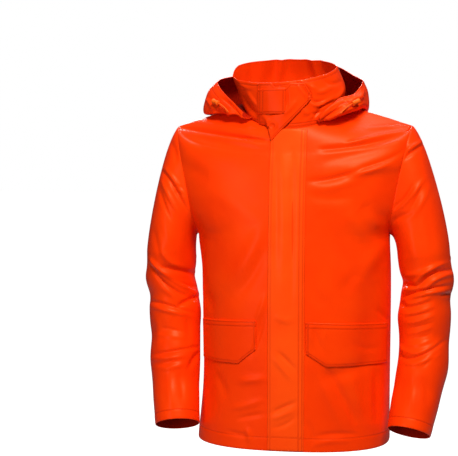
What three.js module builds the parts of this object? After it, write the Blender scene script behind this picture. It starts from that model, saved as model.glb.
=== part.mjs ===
// A hooded raincoat of coated cloth, filled out as if worn, with nobody in it.
// Millimetres, +Z up. The front faces -Y and +X is the wearer's left. The origin is the middle of the neck's base.
import * as THREE from "three";

// Cloth, seams and how far one layer lies off another.
const CLOTH = 1.6;
const SEAM_GAP = 0.3;
const LAYER_STEP = 2.2;
const TOP_LAYER_STEP = 4.6;
const ORANGE = 0xff4200;
const TRIM_ORANGE = 0xff6a1a;

// Front of the jacket from hem to neck: one row for each level. mid is the centre front, side is the side seam up to
// the underarm row, then the armhole up to the tip row, then the shoulder seam. arc is how far round the row turns,
// square is how boxy its curve is, rise bends the row's height, and shift moves the whole ring to the wearer's left.
const FRONT_ROWS = [
  { level: "hem", midY: -136, midZ: -687, sideX: 204, sideY: 0, sideZ: -682, arc: 90, square: 2.4, rise: 2, shift: 1 },
  { level: "hip", midY: -135, midZ: -560, sideX: 200, sideY: 0, sideZ: -560, arc: 90, square: 2.35, rise: 2, shift: 5 },
  { level: "waist", midY: -134, midZ: -430, sideX: 201, sideY: 0, sideZ: -430, arc: 90, square: 2.3, rise: 2, shift: 5 },
  { level: "rib", midY: -133, midZ: -330, sideX: 202, sideY: 0, sideZ: -325, arc: 90, square: 2.25, rise: 2, shift: 4 },
  { level: "underarm", midY: -130, midZ: -262, sideX: 203, sideY: 0, sideZ: -245, arc: 90, square: 2.2, rise: 2, shift: 0 },
  { level: "low", midY: -128, midZ: -236, sideX: 206, sideY: -35, sideZ: -228, arc: 76, square: 2.2, rise: 2, shift: 0 },
  { level: "chest", midY: -126, midZ: -206, sideX: 211, sideY: -55, sideZ: -202, arc: 70, square: 2.15, rise: 2, shift: 0 },
  { level: "across", midY: -123, midZ: -174, sideX: 217, sideY: -62, sideZ: -168, arc: 66, square: 2.1, rise: 1.9, shift: 0 },
  { level: "high", midY: -119, midZ: -144, sideX: 225, sideY: -60, sideZ: -128, arc: 66, square: 2.1, rise: 1.8, shift: 0 },
  { level: "blade", midY: -115, midZ: -116, sideX: 234, sideY: -55, sideZ: -87, arc: 70, square: 2.1, rise: 1.8, shift: 0 },
  { level: "cap", midY: -111, midZ: -95, sideX: 242, sideY: -43, sideZ: -50, arc: 76, square: 2.1, rise: 1.8, shift: 0 },
  { level: "crown", midY: -108, midZ: -82, sideX: 247, sideY: -24, sideZ: -27, arc: 82, square: 2.1, rise: 1.8, shift: 0 },
  { level: "tip", midY: -105, midZ: -71, sideX: 249, sideY: 0, sideZ: -18, arc: 88, square: 2.1, rise: 1.8, shift: 0 },
  { level: "shoulder", midY: -101, midZ: -48, sideX: 174, sideY: -3, sideZ: 6, arc: 90, square: 2.1, rise: 1.8, shift: 0 },
  { level: "neck", midY: -97, midZ: -24, sideX: 97, sideY: -6, sideZ: 27, arc: 90, square: 2, rise: 2, shift: 0 },
];
// The back has the same side edge, carried round to +Y in the armhole.
const BACK_MIDDLES = [
  { midY: 133, midZ: -686, square: 2.4 },
  { midY: 128, midZ: -560, square: 2.35 },
  { midY: 124, midZ: -430, square: 2.3 },
  { midY: 124, midZ: -325, square: 2.25 },
  { midY: 124, midZ: -248, square: 2.2 },
  { midY: 124, midZ: -226, square: 2.2 },
  { midY: 123, midZ: -198, square: 2.15 },
  { midY: 121, midZ: -168, square: 2.1 },
  { midY: 118, midZ: -132, square: 2.1 },
  { midY: 114, midZ: -100, square: 2.1 },
  { midY: 109, midZ: -72, square: 2.1 },
  { midY: 105, midZ: -52, square: 2.1 },
  { midY: 100, midZ: -35, square: 2.1 },
  { midY: 90, midZ: -4, square: 2.1 },
  { midY: 78, midZ: 28, square: 2 },
];
const BACK_ARMHOLE_SHARE = 1.06;
const BACK_ROWS = FRONT_ROWS.map((row, i) => ({ ...row, ...BACK_MIDDLES[i], sideY: -row.sideY * BACK_ARMHOLE_SHARE }));
const UNDERARM = 4;
const TIP = 12;
const NECK = 14;
for (let i = TIP; i <= NECK; i++) BACK_ROWS[i].sideY = FRONT_ROWS[i].sideY;
const LOWER_STEPS = 12;
const ARMHOLE_STEPS = 13;
const SHOULDER_STEPS = 5;
const HALF_PANEL_STEPS = 11;

// Sleeves: centre of each ring, its reach outwards and forwards. The upper end is the armhole itself.
const SLEEVE_ROWS = {
  left: [
    { x: 275, y: 0, z: -285, out: 54, fore: 76 },
    { x: 281, y: 2, z: -350, out: 53, fore: 72 },
    { x: 279, y: -4, z: -430, out: 53, fore: 66 },
    { x: 277, y: -25, z: -505, out: 51, fore: 60 },
    { x: 264, y: -56, z: -582, out: 49, fore: 54 },
    { x: 252, y: -84, z: -648, out: 44, fore: 49 },
  ],
  right: [
    { x: 267, y: 0, z: -285, out: 51, fore: 76 },
    { x: 266, y: 2, z: -350, out: 52, fore: 72 },
    { x: 259, y: -4, z: -430, out: 53, fore: 66 },
    { x: 253, y: -25, z: -505, out: 52, fore: 60 },
    { x: 245, y: -56, z: -582, out: 49, fore: 54 },
    { x: 236, y: -84, z: -648, out: 46, fore: 49 },
  ],
};
const CAP_TOP = { out: 84, down: 66 };
const CAP_FOOT = { out: 46, down: 2 };
const CAP_END_PULL = 190;
const CAP_END_LEAN = 0.06;
const CAP_STEPS = 9;
const TUBE_STEPS = 14;

// Stand collar: its middle and rim rings, each an ellipse that is tipped up at the back.
const COLLAR_RINGS = [
  { x: -3, y: -11, across: 112, deep: 87, z: 53, backUp: 29, leftUp: 3 },
  { x: -18, y: -19, across: 110, deep: 81, z: 98, backUp: 28, leftUp: 6 },
];
// The rim's back is boxier than an oval, and its tilt to the left fades out behind.
const RIM_BOXY = 0.7;
const TILT_FADE = 3;
const COLLAR_STEPS = 6;

// Hood, laid back on the shoulders: each row is one section, at a turn in degrees from the front, from the neck seam
// (out0, up0) over the fold to the face edge (out4, up4). out is the reach from the neck's middle.
const HOOD_MIDDLE_Y = -8;
const HOOD_ROWS = [
  { turn: 38, out1: 104, up1: -9, out2: 108, up2: -5, out3: 109, up3: 1, out4: 107, up4: 7 },
  { turn: 50, out1: 112, up1: -6, out2: 122, up2: 2, out3: 122, up3: 13, out4: 114, up4: 22 },
  { turn: 60, out1: 120, up1: 2, out2: 136, up2: 8, out3: 137, up3: 24, out4: 120, up4: 38 },
  { turn: 68, out1: 125, up1: 8, out2: 146, up2: 14, out3: 148, up3: 36, out4: 141, up4: 46 },
  { turn: 78, out1: 129, up1: 12, out2: 151, up2: 20, out3: 154, up3: 46, out4: 146, up4: 61 },
  { turn: 90, out1: 135, up1: 20, out2: 155, up2: 22, out3: 155, up3: 50, out4: 147, up4: 75 },
  { turn: 120, out1: 150, up1: 4, out2: 165, up2: 4, out3: 163, up3: 62, out4: 140, up4: 90 },
  { turn: 150, out1: 148, up1: -50, out2: 178, up2: -52, out3: 186, up3: 74, out4: 136, up4: 116 },
  { turn: 180, out1: 132, up1: -84, out2: 166, up2: -82, out3: 184, up3: 72, out4: 112, up4: 122 },
  { turn: 210, out1: 148, up1: -50, out2: 180, up2: -52, out3: 188, up3: 72, out4: 138, up4: 114 },
  { turn: 240, out1: 156, up1: 4, out2: 188, up2: 2, out3: 186, up3: 66, out4: 150, up4: 94 },
  { turn: 270, out1: 148, up1: 18, out2: 192, up2: 9, out3: 186, up3: 50, out4: 164, up4: 76 },
  { turn: 295, out1: 116, up1: 8, out2: 136, up2: 8, out3: 138, up3: 20, out4: 132, up4: 31 },
  { turn: 305, out1: 104, up1: -3, out2: 118, up2: -2, out3: 121, up3: 4, out4: 117, up4: 9 },
];
const HOOD_SEAM_TURN = { left: 160, right: 200 };
const HOOD_SEAM_HEIGHT = 0.09;
const HOOD_TURN_STEP = 8;
const HOOD_STEPS = 12;

// Storm flap, sewn along its wearer's-left edge, and the two pocket flaps.
const FLAP = { free: -34, sewn: 40, bottom: -685, top: -30, across: 4, steps: 34 };
const POCKETS = {
  left: { near: 0.098, far: 0.86, top: -420, side: -428, low: -510, corner: 0.16, drop: -484, lift: 2.8 },
  right: { near: 0.175, far: 0.83, top: -419, side: -427, low: -509, corner: 0.2, drop: -478, lift: 2.6 },
};
const POCKET_ACROSS = 12;
const POCKET_STEPS = 4;

// Chin guard and throat tab in front of the neck: x places with the heights of the lower and upper edge.
const GUARD_EDGE = [
  { x: -62, low: -14, high: 69 },
  { x: -42, low: -16, high: 70 },
  { x: -33, low: -50, high: 69 },
  { x: -26, low: -42, high: 60 },
  { x: -2, low: -16, high: 59 },
  { x: 6, low: -8, high: 68 },
  { x: 32, low: 20, high: 68 },
  { x: 46, low: 36, high: 46 },
];
const GUARD_ACROSS = 16;
const GUARD_STEPS = 8;
const TAB = { x0: -61, x1: -4, low: 7, high: 57, across: 6, steps: 5 };

// Soft folds of a panel in the front or back view: a line from (x0, z0) to (x1, z1), its half width and how far out.
const FRONT_FOLDS = [
  { x0: -236, z0: -95, x1: -150, z1: -128, half: 17, out: -5 },
  { x0: -215, z0: -185, x1: -150, z1: -160, half: 15, out: -4 },
  { x0: -200, z0: -250, x1: -140, z1: -215, half: 16, out: 4 },
  { x0: 230, z0: -58, x1: 70, z1: -92, half: 14, out: -5 },
  { x0: 232, z0: -98, x1: 120, z1: -116, half: 12, out: 5 },
  { x0: 205, z0: -215, x1: 150, z1: -180, half: 16, out: -5 },
  { x0: 196, z0: -255, x1: 150, z1: -330, half: 18, out: 4 },
  { x0: 70, z0: -540, x1: 175, z1: -505, half: 16, out: -3 },
  { x0: 178, z0: -330, x1: 165, z1: -640, half: 27, out: -5 },
  { x0: -178, z0: -330, x1: -172, z1: -650, half: 27, out: -4 },
];
const BACK_FOLDS = [
  { x0: -215, z0: -150, x1: -120, z1: -185, half: 18, out: -6 },
  { x0: -205, z0: -215, x1: -110, z1: -280, half: 20, out: 5 },
  { x0: 215, z0: -150, x1: 120, z1: -185, half: 18, out: -6 },
  { x0: 205, z0: -215, x1: 110, z1: -290, half: 20, out: 5 },
  { x0: 110, z0: -200, x1: 80, z1: -470, half: 22, out: -5 },
  { x0: -100, z0: -220, x1: -60, z1: -520, half: 24, out: -5 },
  { x0: 20, z0: -330, x1: 10, z1: -640, half: 26, out: 5 },
];
// Folds across a sleeve: place is 0 at the armhole and 1 at the cuff, facing is degrees from outwards to the front.
const SLEEVE_FOLDS = [
  { place: 0.5, facing: 0, half: 0.035, spread: 75, out: 4 },
  { place: 0.56, facing: 20, half: 0.03, spread: 70, out: -4 },
  { place: 0.5, facing: 180, half: 0.035, spread: 80, out: -5 },
  { place: 0.62, facing: 150, half: 0.035, spread: 70, out: 4 },
  { place: 0.7, facing: 60, half: 0.035, spread: 70, out: -4 },
  { place: 0.78, facing: -40, half: 0.035, spread: 80, out: 3 },
  { place: 0.86, facing: 110, half: 0.03, spread: 70, out: -3 },
];

// Hood draw cords: each leaves the hood's edge, passes its lock and ends in a knot.
const CORD_RADIUS = 1.5;
const CORD_SIDES = 8;
const CORD_STEPS = 10;
const LOCK = { radius: 6, length: 17, waist: 4.6, edge: 1, sides: 14 };
const CORD_PLACES = {
  left: { turn: 66, place: 0.7 },
  right: { turn: 284, place: 0.72 },
};
const CORD_TAIL = 30;
const CORD_DROP = { y: -2, z: -9 };
const CORD_SHARES = [0, 0.35, 0.7, 1];
const CORD_LEAN = 6;

const rad = THREE.MathUtils.degToRad;
const lerp = THREE.MathUtils.lerp;

// A smooth value of a named column at a place between rows. Rows before first and after last take no part.
function smooth(rows, name, place, first = 0, last = rows.length - 1) {
  const i = Math.min(Math.max(Math.floor(place), first), last - 1);
  const t = place - i;
  const here = rows[i][name];
  const next = rows[i + 1][name];
  const before = i > first ? rows[i - 1][name] : 2 * here - next;
  const after = i + 2 <= last ? rows[i + 2][name] : 2 * next - here;
  const bend = 2 * before - 5 * here + 4 * next - after;
  const twist = 3 * (here - next) + after - before;
  return here + 0.5 * t * (next - before + t * (bend + t * twist));
}

// A value between rows whose key column isn't evenly spaced, on straight lines.
function straight(rows, key, name, at) {
  const i = Math.max(1, rows.findIndex((row) => row[key] >= at));
  const share = (at - rows[i - 1][key]) / (rows[i][key] - rows[i - 1][key]);
  return lerp(rows[i - 1][name], rows[i][name], share);
}

// How far the folds of a table push a point of the front or back view out.
function foldPush(folds, x, z) {
  let push = 0;
  for (const fold of folds) {
    const dx = fold.x1 - fold.x0;
    const dz = fold.z1 - fold.z0;
    const along = ((x - fold.x0) * dx + (z - fold.z0) * dz) / (dx * dx + dz * dz);
    const held = Math.min(Math.max(along, 0), 1);
    const off = Math.hypot(x - fold.x0 - held * dx, z - fold.z0 - held * dz);
    push += fold.out * Math.exp(-((off / fold.half) ** 2));
  }
  return push;
}

// How far round a row turns, in radians.
function arcAt(rows, level) {
  return rad(Math.min(90, smooth(rows, "arc", level)));
}

// A point of the body's cloth before its folds. across is 0 at the centre and 1 at the side edge; level is a place in
// the rows; side is 1 for the wearer's left and -1 for the right.
function bodyBase(rows, across, level, side) {
  const part = level <= UNDERARM ? [0, UNDERARM] : level <= TIP ? [UNDERARM, TIP] : [TIP, NECK];
  const edge = (name) => smooth(rows, name, level, ...part);
  const arc = arcAt(rows, level);
  const power = 2 / smooth(rows, "square", level);
  const turn = across * arc;
  const wide = (Math.sin(turn) / Math.sin(arc)) ** power;
  const deep = (1 - Math.max(Math.cos(turn), 0) ** power) / (1 - Math.max(Math.cos(arc), 0) ** power);
  const midY = smooth(rows, "midY", level);
  const midZ = smooth(rows, "midZ", level);
  const climb = across ** smooth(rows, "rise", level);
  return new THREE.Vector3(
    smooth(rows, "shift", level, 0, NECK) + side * edge("sideX") * wide,
    lerp(midY, edge("sideY"), deep),
    lerp(midZ, edge("sideZ"), climb),
  );
}

// The outward direction of a surface given by two parameters, worked out from four near points.
function outward(surface, u, v, sign) {
  const du = 1e-3;
  const across = surface(Math.min(u + du, 1), v).sub(surface(Math.max(u - du, 0), v));
  const up = surface(u, v + du).sub(surface(u, v - du));
  return across.cross(up).normalize().multiplyScalar(sign);
}

// A point of the front or back with its folds. They fade out towards the side edge, the hem line and the neck.
const SIDE_FADE = 0.12;
const NECK_FADE = 1.5;
const ROW_END = 0.002;
function bodyPoint(rows, folds, across, level, side, lift = 0) {
  const facing = rows === FRONT_ROWS ? side : -side;
  const held = Math.min(Math.max(level, ROW_END), NECK - ROW_END);
  const base = bodyBase(rows, across, level, side);
  const normal = outward((u, v) => bodyBase(rows, u, v, side), across, held, facing);
  const fade = Math.min(1, (1 - across) / SIDE_FADE) * Math.min(1, (NECK - level) / NECK_FADE);
  const push = foldPush(folds, base.x, base.z) * Math.max(0, fade);
  return base.addScaledVector(normal, push + lift);
}

// The highest share from low to high at which a rising test still holds.
const HALVINGS = 26;
function bisect(low, high, test) {
  for (let i = 0; i < HALVINGS; i++) {
    const middle = (low + high) / 2;
    if (test(middle)) low = middle;
    else high = middle;
  }
  return low;
}

// The front's cloth under a place given by x and z in the front view, lifted off it.
function frontAt(x, z, lift) {
  const placeAt = (level) => {
    const shift = smooth(FRONT_ROWS, "shift", level);
    const side = x < shift ? -1 : 1;
    const arc = arcAt(FRONT_ROWS, level);
    const edge = bodyBase(FRONT_ROWS, 1, level, side).x;
    const wide = Math.min(1, (x - shift) / (edge - shift));
    const across = Math.asin(wide ** (smooth(FRONT_ROWS, "square", level) / 2) * Math.sin(arc)) / arc;
    return [across, side];
  };
  const level = bisect(0, NECK, (at) => {
    const [across, side] = placeAt(at);
    return bodyBase(FRONT_ROWS, across, at, side).z < z;
  });
  const [across, side] = placeAt(level);
  return bodyPoint(FRONT_ROWS, FRONT_FOLDS, across, level, side, lift);
}

// A grid of points: across has wide + 1 places and up has high + 1. closed joins its last column to its first.
function grid(wide, high, pointAt, closed = false) {
  const columns = closed ? wide : wide + 1;
  const points = [];
  for (let j = 0; j <= high; j++) for (let i = 0; i < columns; i++) points.push(pointAt(i / wide, j / high, i, j));
  const quads = [];
  for (let j = 0; j < high; j++) {
    for (let i = 0; i < wide; i++) {
      const a = j * columns + i;
      const b = j * columns + ((i + 1) % columns);
      quads.push([a, b, b + columns, a + columns]);
    }
  }
  return { points, quads, columns, rows: high + 1, closed };
}

// Vertex normals of a grid, summed over its quads.
function normalsOf(sheet) {
  const normals = sheet.points.map(() => new THREE.Vector3());
  for (const [a, b, c, d] of sheet.quads) {
    const one = sheet.points[c].clone().sub(sheet.points[a]);
    const other = sheet.points[d].clone().sub(sheet.points[b]);
    const face = one.cross(other);
    for (const k of [a, b, c, d]) normals[k].add(face);
  }
  return normals.map((n) => n.normalize());
}

// Pieces that meet at a seam share the direction of their cut edges, so that the edges face each other squarely.
// Points closer than one part in SAME_POINT of a millimetre are the same point of a seam.
const SAME_POINT = 20;
function shareSeamNormals(sheets) {
  const seams = new Map();
  for (const sheet of sheets) {
    sheet.normals = normalsOf(sheet);
    sheet.points.forEach((p, k) => {
      const key = [p.x, p.y, p.z].map((value) => Math.round(value * SAME_POINT)).join();
      if (!seams.has(key)) seams.set(key, []);
      seams.get(key).push(sheet.normals[k]);
    });
  }
  for (const shared of seams.values()) {
    if (shared.length < 2) continue;
    const mean = shared.reduce((sum, n) => sum.add(n), new THREE.Vector3()).normalize();
    for (const n of shared) n.copy(mean);
  }
}

// Draws each cut edge of a grid back by half the seam gap, square to the seam and along the cloth.
function trimEdges(sheet) {
  const { columns, rows, points } = sheet;
  const moved = points.map((p) => p.clone());
  const pull = (k, inner, before, after) => {
    const along = points[after].clone().sub(points[before]);
    const way = along.cross(sheet.normals[k]).normalize();
    if (way.dot(points[inner].clone().sub(points[k])) < 0) way.negate();
    moved[k].addScaledVector(way, SEAM_GAP / 2 + (sheet.ease ? sheet.ease[k] || 0 : 0));
  };
  const near = (i) => (sheet.closed ? (i + columns) % columns : THREE.MathUtils.clamp(i, 0, columns - 1));
  for (const [j, inner] of [[0, 1], [rows - 1, rows - 2]]) {
    for (let i = 0; i < columns; i++) {
      pull(j * columns + i, inner * columns + i, j * columns + near(i - 1), j * columns + near(i + 1));
    }
  }
  for (const [i, inner] of sheet.closed ? [] : [[0, 1], [columns - 1, columns - 2]]) {
    for (let j = 0; j < rows; j++) {
      const [before, after] = [Math.max(j - 1, 0), Math.min(j + 1, rows - 1)];
      pull(j * columns + i, j * columns + inner, before * columns + i, after * columns + i);
    }
  }
  sheet.points = moved;
}

// A closed cloth wall on a grid: an outer and an inner layer, joined round every cut edge.
function wallOf(sheet) {
  const half = CLOTH / 2;
  const count = sheet.points.length;
  const corners = [];
  for (const way of [half, -half]) {
    sheet.points.forEach((p, k) => corners.push(p.clone().addScaledVector(sheet.normals[k], way)));
  }
  const index = [];
  const uses = new Map();
  for (const [a, b, c, d] of sheet.quads) {
    index.push(a, b, c, a, c, d);
    index.push(a + count, c + count, b + count, a + count, d + count, c + count);
    for (const [p, q] of [[a, b], [b, c], [c, d], [d, a]]) {
      if (uses.has(q + "_" + p)) uses.delete(q + "_" + p);
      else uses.set(p + "_" + q, [p, q]);
    }
  }
  for (const [p, q] of uses.values()) index.push(p, p + count, q + count, p, q + count, q);
  const geometry = new THREE.BufferGeometry().setFromPoints(corners);
  geometry.setIndex(index);
  geometry.computeVertexNormals();
  return geometry;
}

// The places in the rows that the body's grids use, from hem to neck.
const bodyLevels = [];
for (let i = 0; i < LOWER_STEPS; i++) bodyLevels.push((UNDERARM * i) / LOWER_STEPS);
for (let i = 0; i < ARMHOLE_STEPS; i++) bodyLevels.push(lerp(UNDERARM, TIP, i / ARMHOLE_STEPS));
for (let i = 0; i <= SHOULDER_STEPS; i++) bodyLevels.push(lerp(TIP, NECK, i / SHOULDER_STEPS));
const BODY_STEPS = bodyLevels.length - 1;

// The two fronts meet at the centre front, under the storm flap.
function frontPanel(side) {
  return grid(HALF_PANEL_STEPS, BODY_STEPS, (u, v, i, j) => {
    const across = side > 0 ? u : 1 - u;
    return bodyPoint(FRONT_ROWS, FRONT_FOLDS, across, bodyLevels[j], side);
  });
}

// The back is one piece from side seam to side seam.
function backPanel() {
  return grid(2 * HALF_PANEL_STEPS, BODY_STEPS, (u, v, i, j) => {
    const place = 1 - 2 * u;
    return bodyPoint(BACK_ROWS, BACK_FOLDS, Math.abs(place), bodyLevels[j], place < 0 ? -1 : 1);
  });
}

// The armhole's edge, from the shoulder tip down the front to the underarm and up the back.
function armholeLoop(side) {
  const loop = [];
  for (let k = 0; k < 2 * ARMHOLE_STEPS; k++) {
    const down = k <= ARMHOLE_STEPS;
    const level = lerp(TIP, UNDERARM, (down ? k : 2 * ARMHOLE_STEPS - k) / ARMHOLE_STEPS);
    loop.push(bodyBase(down ? FRONT_ROWS : BACK_ROWS, 1, level, side));
  }
  return loop;
}

// A ring point of the sleeve's tube: the ring stands square to the line through the centres.
function sleeveRing(rows, place, angle, side, extra) {
  const centreAt = (at) => new THREE.Vector3(side * smooth(rows, "x", at), smooth(rows, "y", at), smooth(rows, "z", at));
  const centre = centreAt(place);
  const axis = centreAt(place + 0.01).sub(centreAt(place - 0.01)).normalize();
  const forwards = new THREE.Vector3(0, -1, 0);
  forwards.addScaledVector(axis, -forwards.dot(axis)).normalize();
  const outwards = new THREE.Vector3().crossVectors(forwards, axis).multiplyScalar(side);
  if (outwards.x * side < 0) outwards.negate();
  centre.addScaledVector(outwards, (smooth(rows, "out", place) + extra) * Math.cos(angle));
  return centre.addScaledVector(forwards, (smooth(rows, "fore", place) + extra) * Math.sin(angle));
}

// A sleeve: from the armhole a curved cap runs into the first ring, and the tube follows the rings to the cuff.
function sleeve(name, side) {
  const rows = SLEEVE_ROWS[name];
  const loop = armholeLoop(side);
  const steps = CAP_STEPS + TUBE_STEPS;
  const lastRow = rows.length - 1;
  return grid(loop.length, steps, (u, v, i, j) => {
    const angle = 2 * Math.PI * u;
    const place = j / steps;
    const facing = THREE.MathUtils.radToDeg(angle);
    let extra = 0;
    for (const fold of SLEEVE_FOLDS) {
      const apart = Math.abs(((facing - fold.facing + 540) % 360) - 180);
      extra += fold.out * Math.exp(-(((place - fold.place) / fold.half) ** 2) - (apart / fold.spread) ** 2);
    }
    if (j >= CAP_STEPS) return sleeveRing(rows, ((j - CAP_STEPS) / TUBE_STEPS) * lastRow, angle, side, extra);
    const t = j / CAP_STEPS;
    const top = (1 + Math.cos(angle)) / 2;
    const out = lerp(CAP_FOOT.out, CAP_TOP.out, top);
    const down = lerp(CAP_FOOT.down, CAP_TOP.down, top);
    const start = loop[i].clone();
    const end = sleeveRing(rows, 0, angle, side, extra);
    const leave = new THREE.Vector3(side * out, 0, -down);
    const pull = lerp(CAP_FOOT.down, CAP_END_PULL, top);
    const arrive = new THREE.Vector3(side * CAP_END_LEAN, 0, -1).multiplyScalar(pull);
    return start
      .multiplyScalar(1 - 3 * t * t + 2 * t ** 3)
      .addScaledVector(end, 3 * t * t - 2 * t ** 3)
      .addScaledVector(leave, t - 2 * t * t + t ** 3)
      .addScaledVector(arrive, t ** 3 - t * t);
  }, true);
}

// The neck seam, from the centre front round the wearer's left, the back and the right to the centre front again.
const neckSeam = [];
for (let i = 0; i < HALF_PANEL_STEPS; i++) neckSeam.push(bodyBase(FRONT_ROWS, i / HALF_PANEL_STEPS, NECK, 1));
for (let i = 0; i < 2 * HALF_PANEL_STEPS; i++) {
  const place = 1 - i / HALF_PANEL_STEPS;
  neckSeam.push(bodyBase(BACK_ROWS, Math.abs(place), NECK, place < 0 ? -1 : 1));
}
for (let i = 0; i <= HALF_PANEL_STEPS; i++) neckSeam.push(bodyBase(FRONT_ROWS, 1 - i / HALF_PANEL_STEPS, NECK, -1));

// A collar point at a height from 0 at the neck seam to 1 at the rim, through its rings.
function collarFrom(base, height) {
  const turn = Math.atan2(base.x, HOOD_MIDDLE_Y - base.y);
  const forwards = Math.cos(turn);
  const slope = forwards < 0 ? -Math.pow(-forwards, RIM_BOXY) : forwards;
  const tilt = Math.sin(turn) * Math.min(1, Math.max(0, 1 + TILT_FADE * forwards));
  const rings = COLLAR_RINGS.map((ring) => ({
    x: ring.x + ring.across * Math.sin(turn),
    y: ring.y - ring.deep * Math.cos(turn),
    z: ring.z - ring.backUp * slope + ring.leftUp * tilt,
  }));
  const steps = [{ x: base.x, y: base.y, z: base.z }, ...rings];
  const place = 2 * height;
  return new THREE.Vector3(smooth(steps, "x", place), smooth(steps, "y", place), smooth(steps, "z", place));
}

function collar() {
  const last = neckSeam.length - 1;
  return grid(last, COLLAR_STEPS, (u, v, i) => collarFrom(neckSeam[i], v));
}

// The neck seam at a turn in degrees from the front, between the seam's own points.
function seamAt(turn) {
  const turnOf = (p) => (THREE.MathUtils.radToDeg(Math.atan2(p.x, HOOD_MIDDLE_Y - p.y)) + 360) % 360;
  const low = neckSeam.findIndex((p, i) => i > 0 && (turnOf(p) >= turn || i === neckSeam.length - 1)) - 1;
  const start = low === 0 ? 0 : turnOf(neckSeam[low]);
  const end = low + 1 === neckSeam.length - 1 ? 360 : turnOf(neckSeam[low + 1]);
  return neckSeam[low].clone().lerp(neckSeam[low + 1], (turn - start) / (end - start));
}

// A hood point at a turn from the front, place 0 at the neck seam and 1 at the face edge.
function hoodPoint(turn, place) {
  const i = Math.max(1, HOOD_ROWS.findIndex((row) => row.turn >= turn));
  const row = i - 1 + (turn - HOOD_ROWS[i - 1].turn) / (HOOD_ROWS[i].turn - HOOD_ROWS[i - 1].turn);
  const way = new THREE.Vector3(Math.sin(rad(turn)), -Math.cos(rad(turn)), 0);
  const seam = collarFrom(seamAt(turn), HOOD_SEAM_HEIGHT).addScaledVector(way, LAYER_STEP);
  const section = [{ out: seam.dot(way) - HOOD_MIDDLE_Y * way.y, up: seam.z }];
  for (const k of [1, 2, 3, 4]) {
    section.push({ out: smooth(HOOD_ROWS, "out" + k, row), up: smooth(HOOD_ROWS, "up" + k, row) });
  }
  const at = place * 4;
  const out = smooth(section, "out", at);
  return new THREE.Vector3(out * way.x, HOOD_MIDDLE_Y + out * way.y, smooth(section, "up", at));
}

function hoodPiece(fromTurn, toTurn) {
  const steps = Math.round((toTurn - fromTurn) / HOOD_TURN_STEP);
  return grid(steps, HOOD_STEPS, (u, v) => hoodPoint(lerp(fromTurn, toTurn, u), v));
}

// The tab that takes in the hood's depth, sewn on the lower back of the middle panel.
const HOOD_TAB = { fromTurn: 183, toTurn: 205, low: 0.42, high: 0.6, across: 6, steps: 5 };
function hoodTab() {
  return grid(HOOD_TAB.across, HOOD_TAB.steps, (u, v) => {
    const turn = lerp(HOOD_TAB.fromTurn, HOOD_TAB.toTurn, u);
    const place = lerp(HOOD_TAB.low, HOOD_TAB.high, v);
    return liftedHood(turn, place, LAYER_STEP);
  });
}

// A hood point moved out of its surface.
function liftedHood(turn, place, lift) {
  const step = 0.5;
  const across = hoodPoint(turn + step, place).sub(hoodPoint(turn - step, place));
  const up = hoodPoint(turn, Math.min(place + 0.01, 1)).sub(hoodPoint(turn, place - 0.01));
  return hoodPoint(turn, place).addScaledVector(across.cross(up).normalize(), lift);
}

function stormFlap() {
  return grid(FLAP.across, FLAP.steps, (u, v) => {
    return frontAt(lerp(FLAP.free, FLAP.sewn, u), lerp(FLAP.bottom, FLAP.top, v), LAYER_STEP);
  });
}

// A pocket flap: straight top edge, lower edge with a cut-off corner near the centre front.
function pocketFlap(pocket, side) {
  const lineAt = (share, v) => {
    const low = share < pocket.corner ? lerp(pocket.drop, pocket.low, share / pocket.corner) : pocket.low;
    return lerp(low, lerp(pocket.top, pocket.side, share), v);
  };
  const levelAt = (across, z) => bisect(0, UNDERARM, (level) => bodyBase(FRONT_ROWS, across, level, side).z < z);
  return grid(POCKET_ACROSS, POCKET_STEPS, (u, v) => {
    const share = side > 0 ? u : 1 - u;
    const across = lerp(pocket.near, pocket.far, share);
    return bodyPoint(FRONT_ROWS, FRONT_FOLDS, across, levelAt(across, lineAt(share, v)), side, pocket.lift);
  });
}

// The collar over a signed share of the front's neck seam: 1 is the wearer's left shoulder, -1 the right.
function collarAt(share, height) {
  return collarFrom(bodyBase(FRONT_ROWS, Math.abs(share), NECK, share < 0 ? -1 : 1), height);
}

// The cloth in front of the neck, body below the seam and collar above it, at x and z in the front view.
const SEAM_BAND = 8;
const NECK_ROUNDS = 8;
function neckFrontAt(x, z, lift) {
  const seam = collarAt(bisect(-1, 1, (share) => collarAt(share, 0).x < x), 0);
  const below = frontAt(x, Math.min(z, seam.z - SEAM_BAND), lift);
  if (z < seam.z - SEAM_BAND) return below;
  let share = 0;
  let height = 0;
  for (let i = 0; i < NECK_ROUNDS; i++) {
    height = bisect(0, 1, (at) => collarAt(share, at).z < z);
    share = bisect(-1, 1, (at) => collarAt(at, height).x < x);
  }
  const step = 0.01;
  const across = collarAt(share + step, height).sub(collarAt(share - step, height));
  const up = collarAt(share, height + step).sub(collarAt(share, height));
  const point = collarAt(share, height).addScaledVector(across.cross(up).normalize(), lift);
  const upper = THREE.MathUtils.clamp((z - seam.z + SEAM_BAND) / SEAM_BAND, 0, 1);
  return below.lerp(point, upper);
}

// The guard's lift off the neck: its outer edge lies close and the rest clears the flap's top.
const GUARD_RISE = 24;
function guardLift(x) {
  return lerp(LAYER_STEP, TOP_LAYER_STEP, Math.min(1, (x - GUARD_EDGE[0].x) / GUARD_RISE));
}

function chinGuard() {
  const first = GUARD_EDGE[0].x;
  const last = GUARD_EDGE[GUARD_EDGE.length - 1].x;
  return grid(GUARD_ACROSS, GUARD_STEPS, (u, v) => {
    const x = lerp(first, last, u);
    return neckFrontAt(x, lerp(straight(GUARD_EDGE, "x", "low", x), straight(GUARD_EDGE, "x", "high", x), v), guardLift(x));
  });
}

function throatTab() {
  return grid(TAB.across, TAB.steps, (u, v) => {
    const x = lerp(TAB.x0, TAB.x1, u);
    return neckFrontAt(x, lerp(TAB.low, TAB.high, v), guardLift(x) + LAYER_STEP);
  });
}

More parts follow.
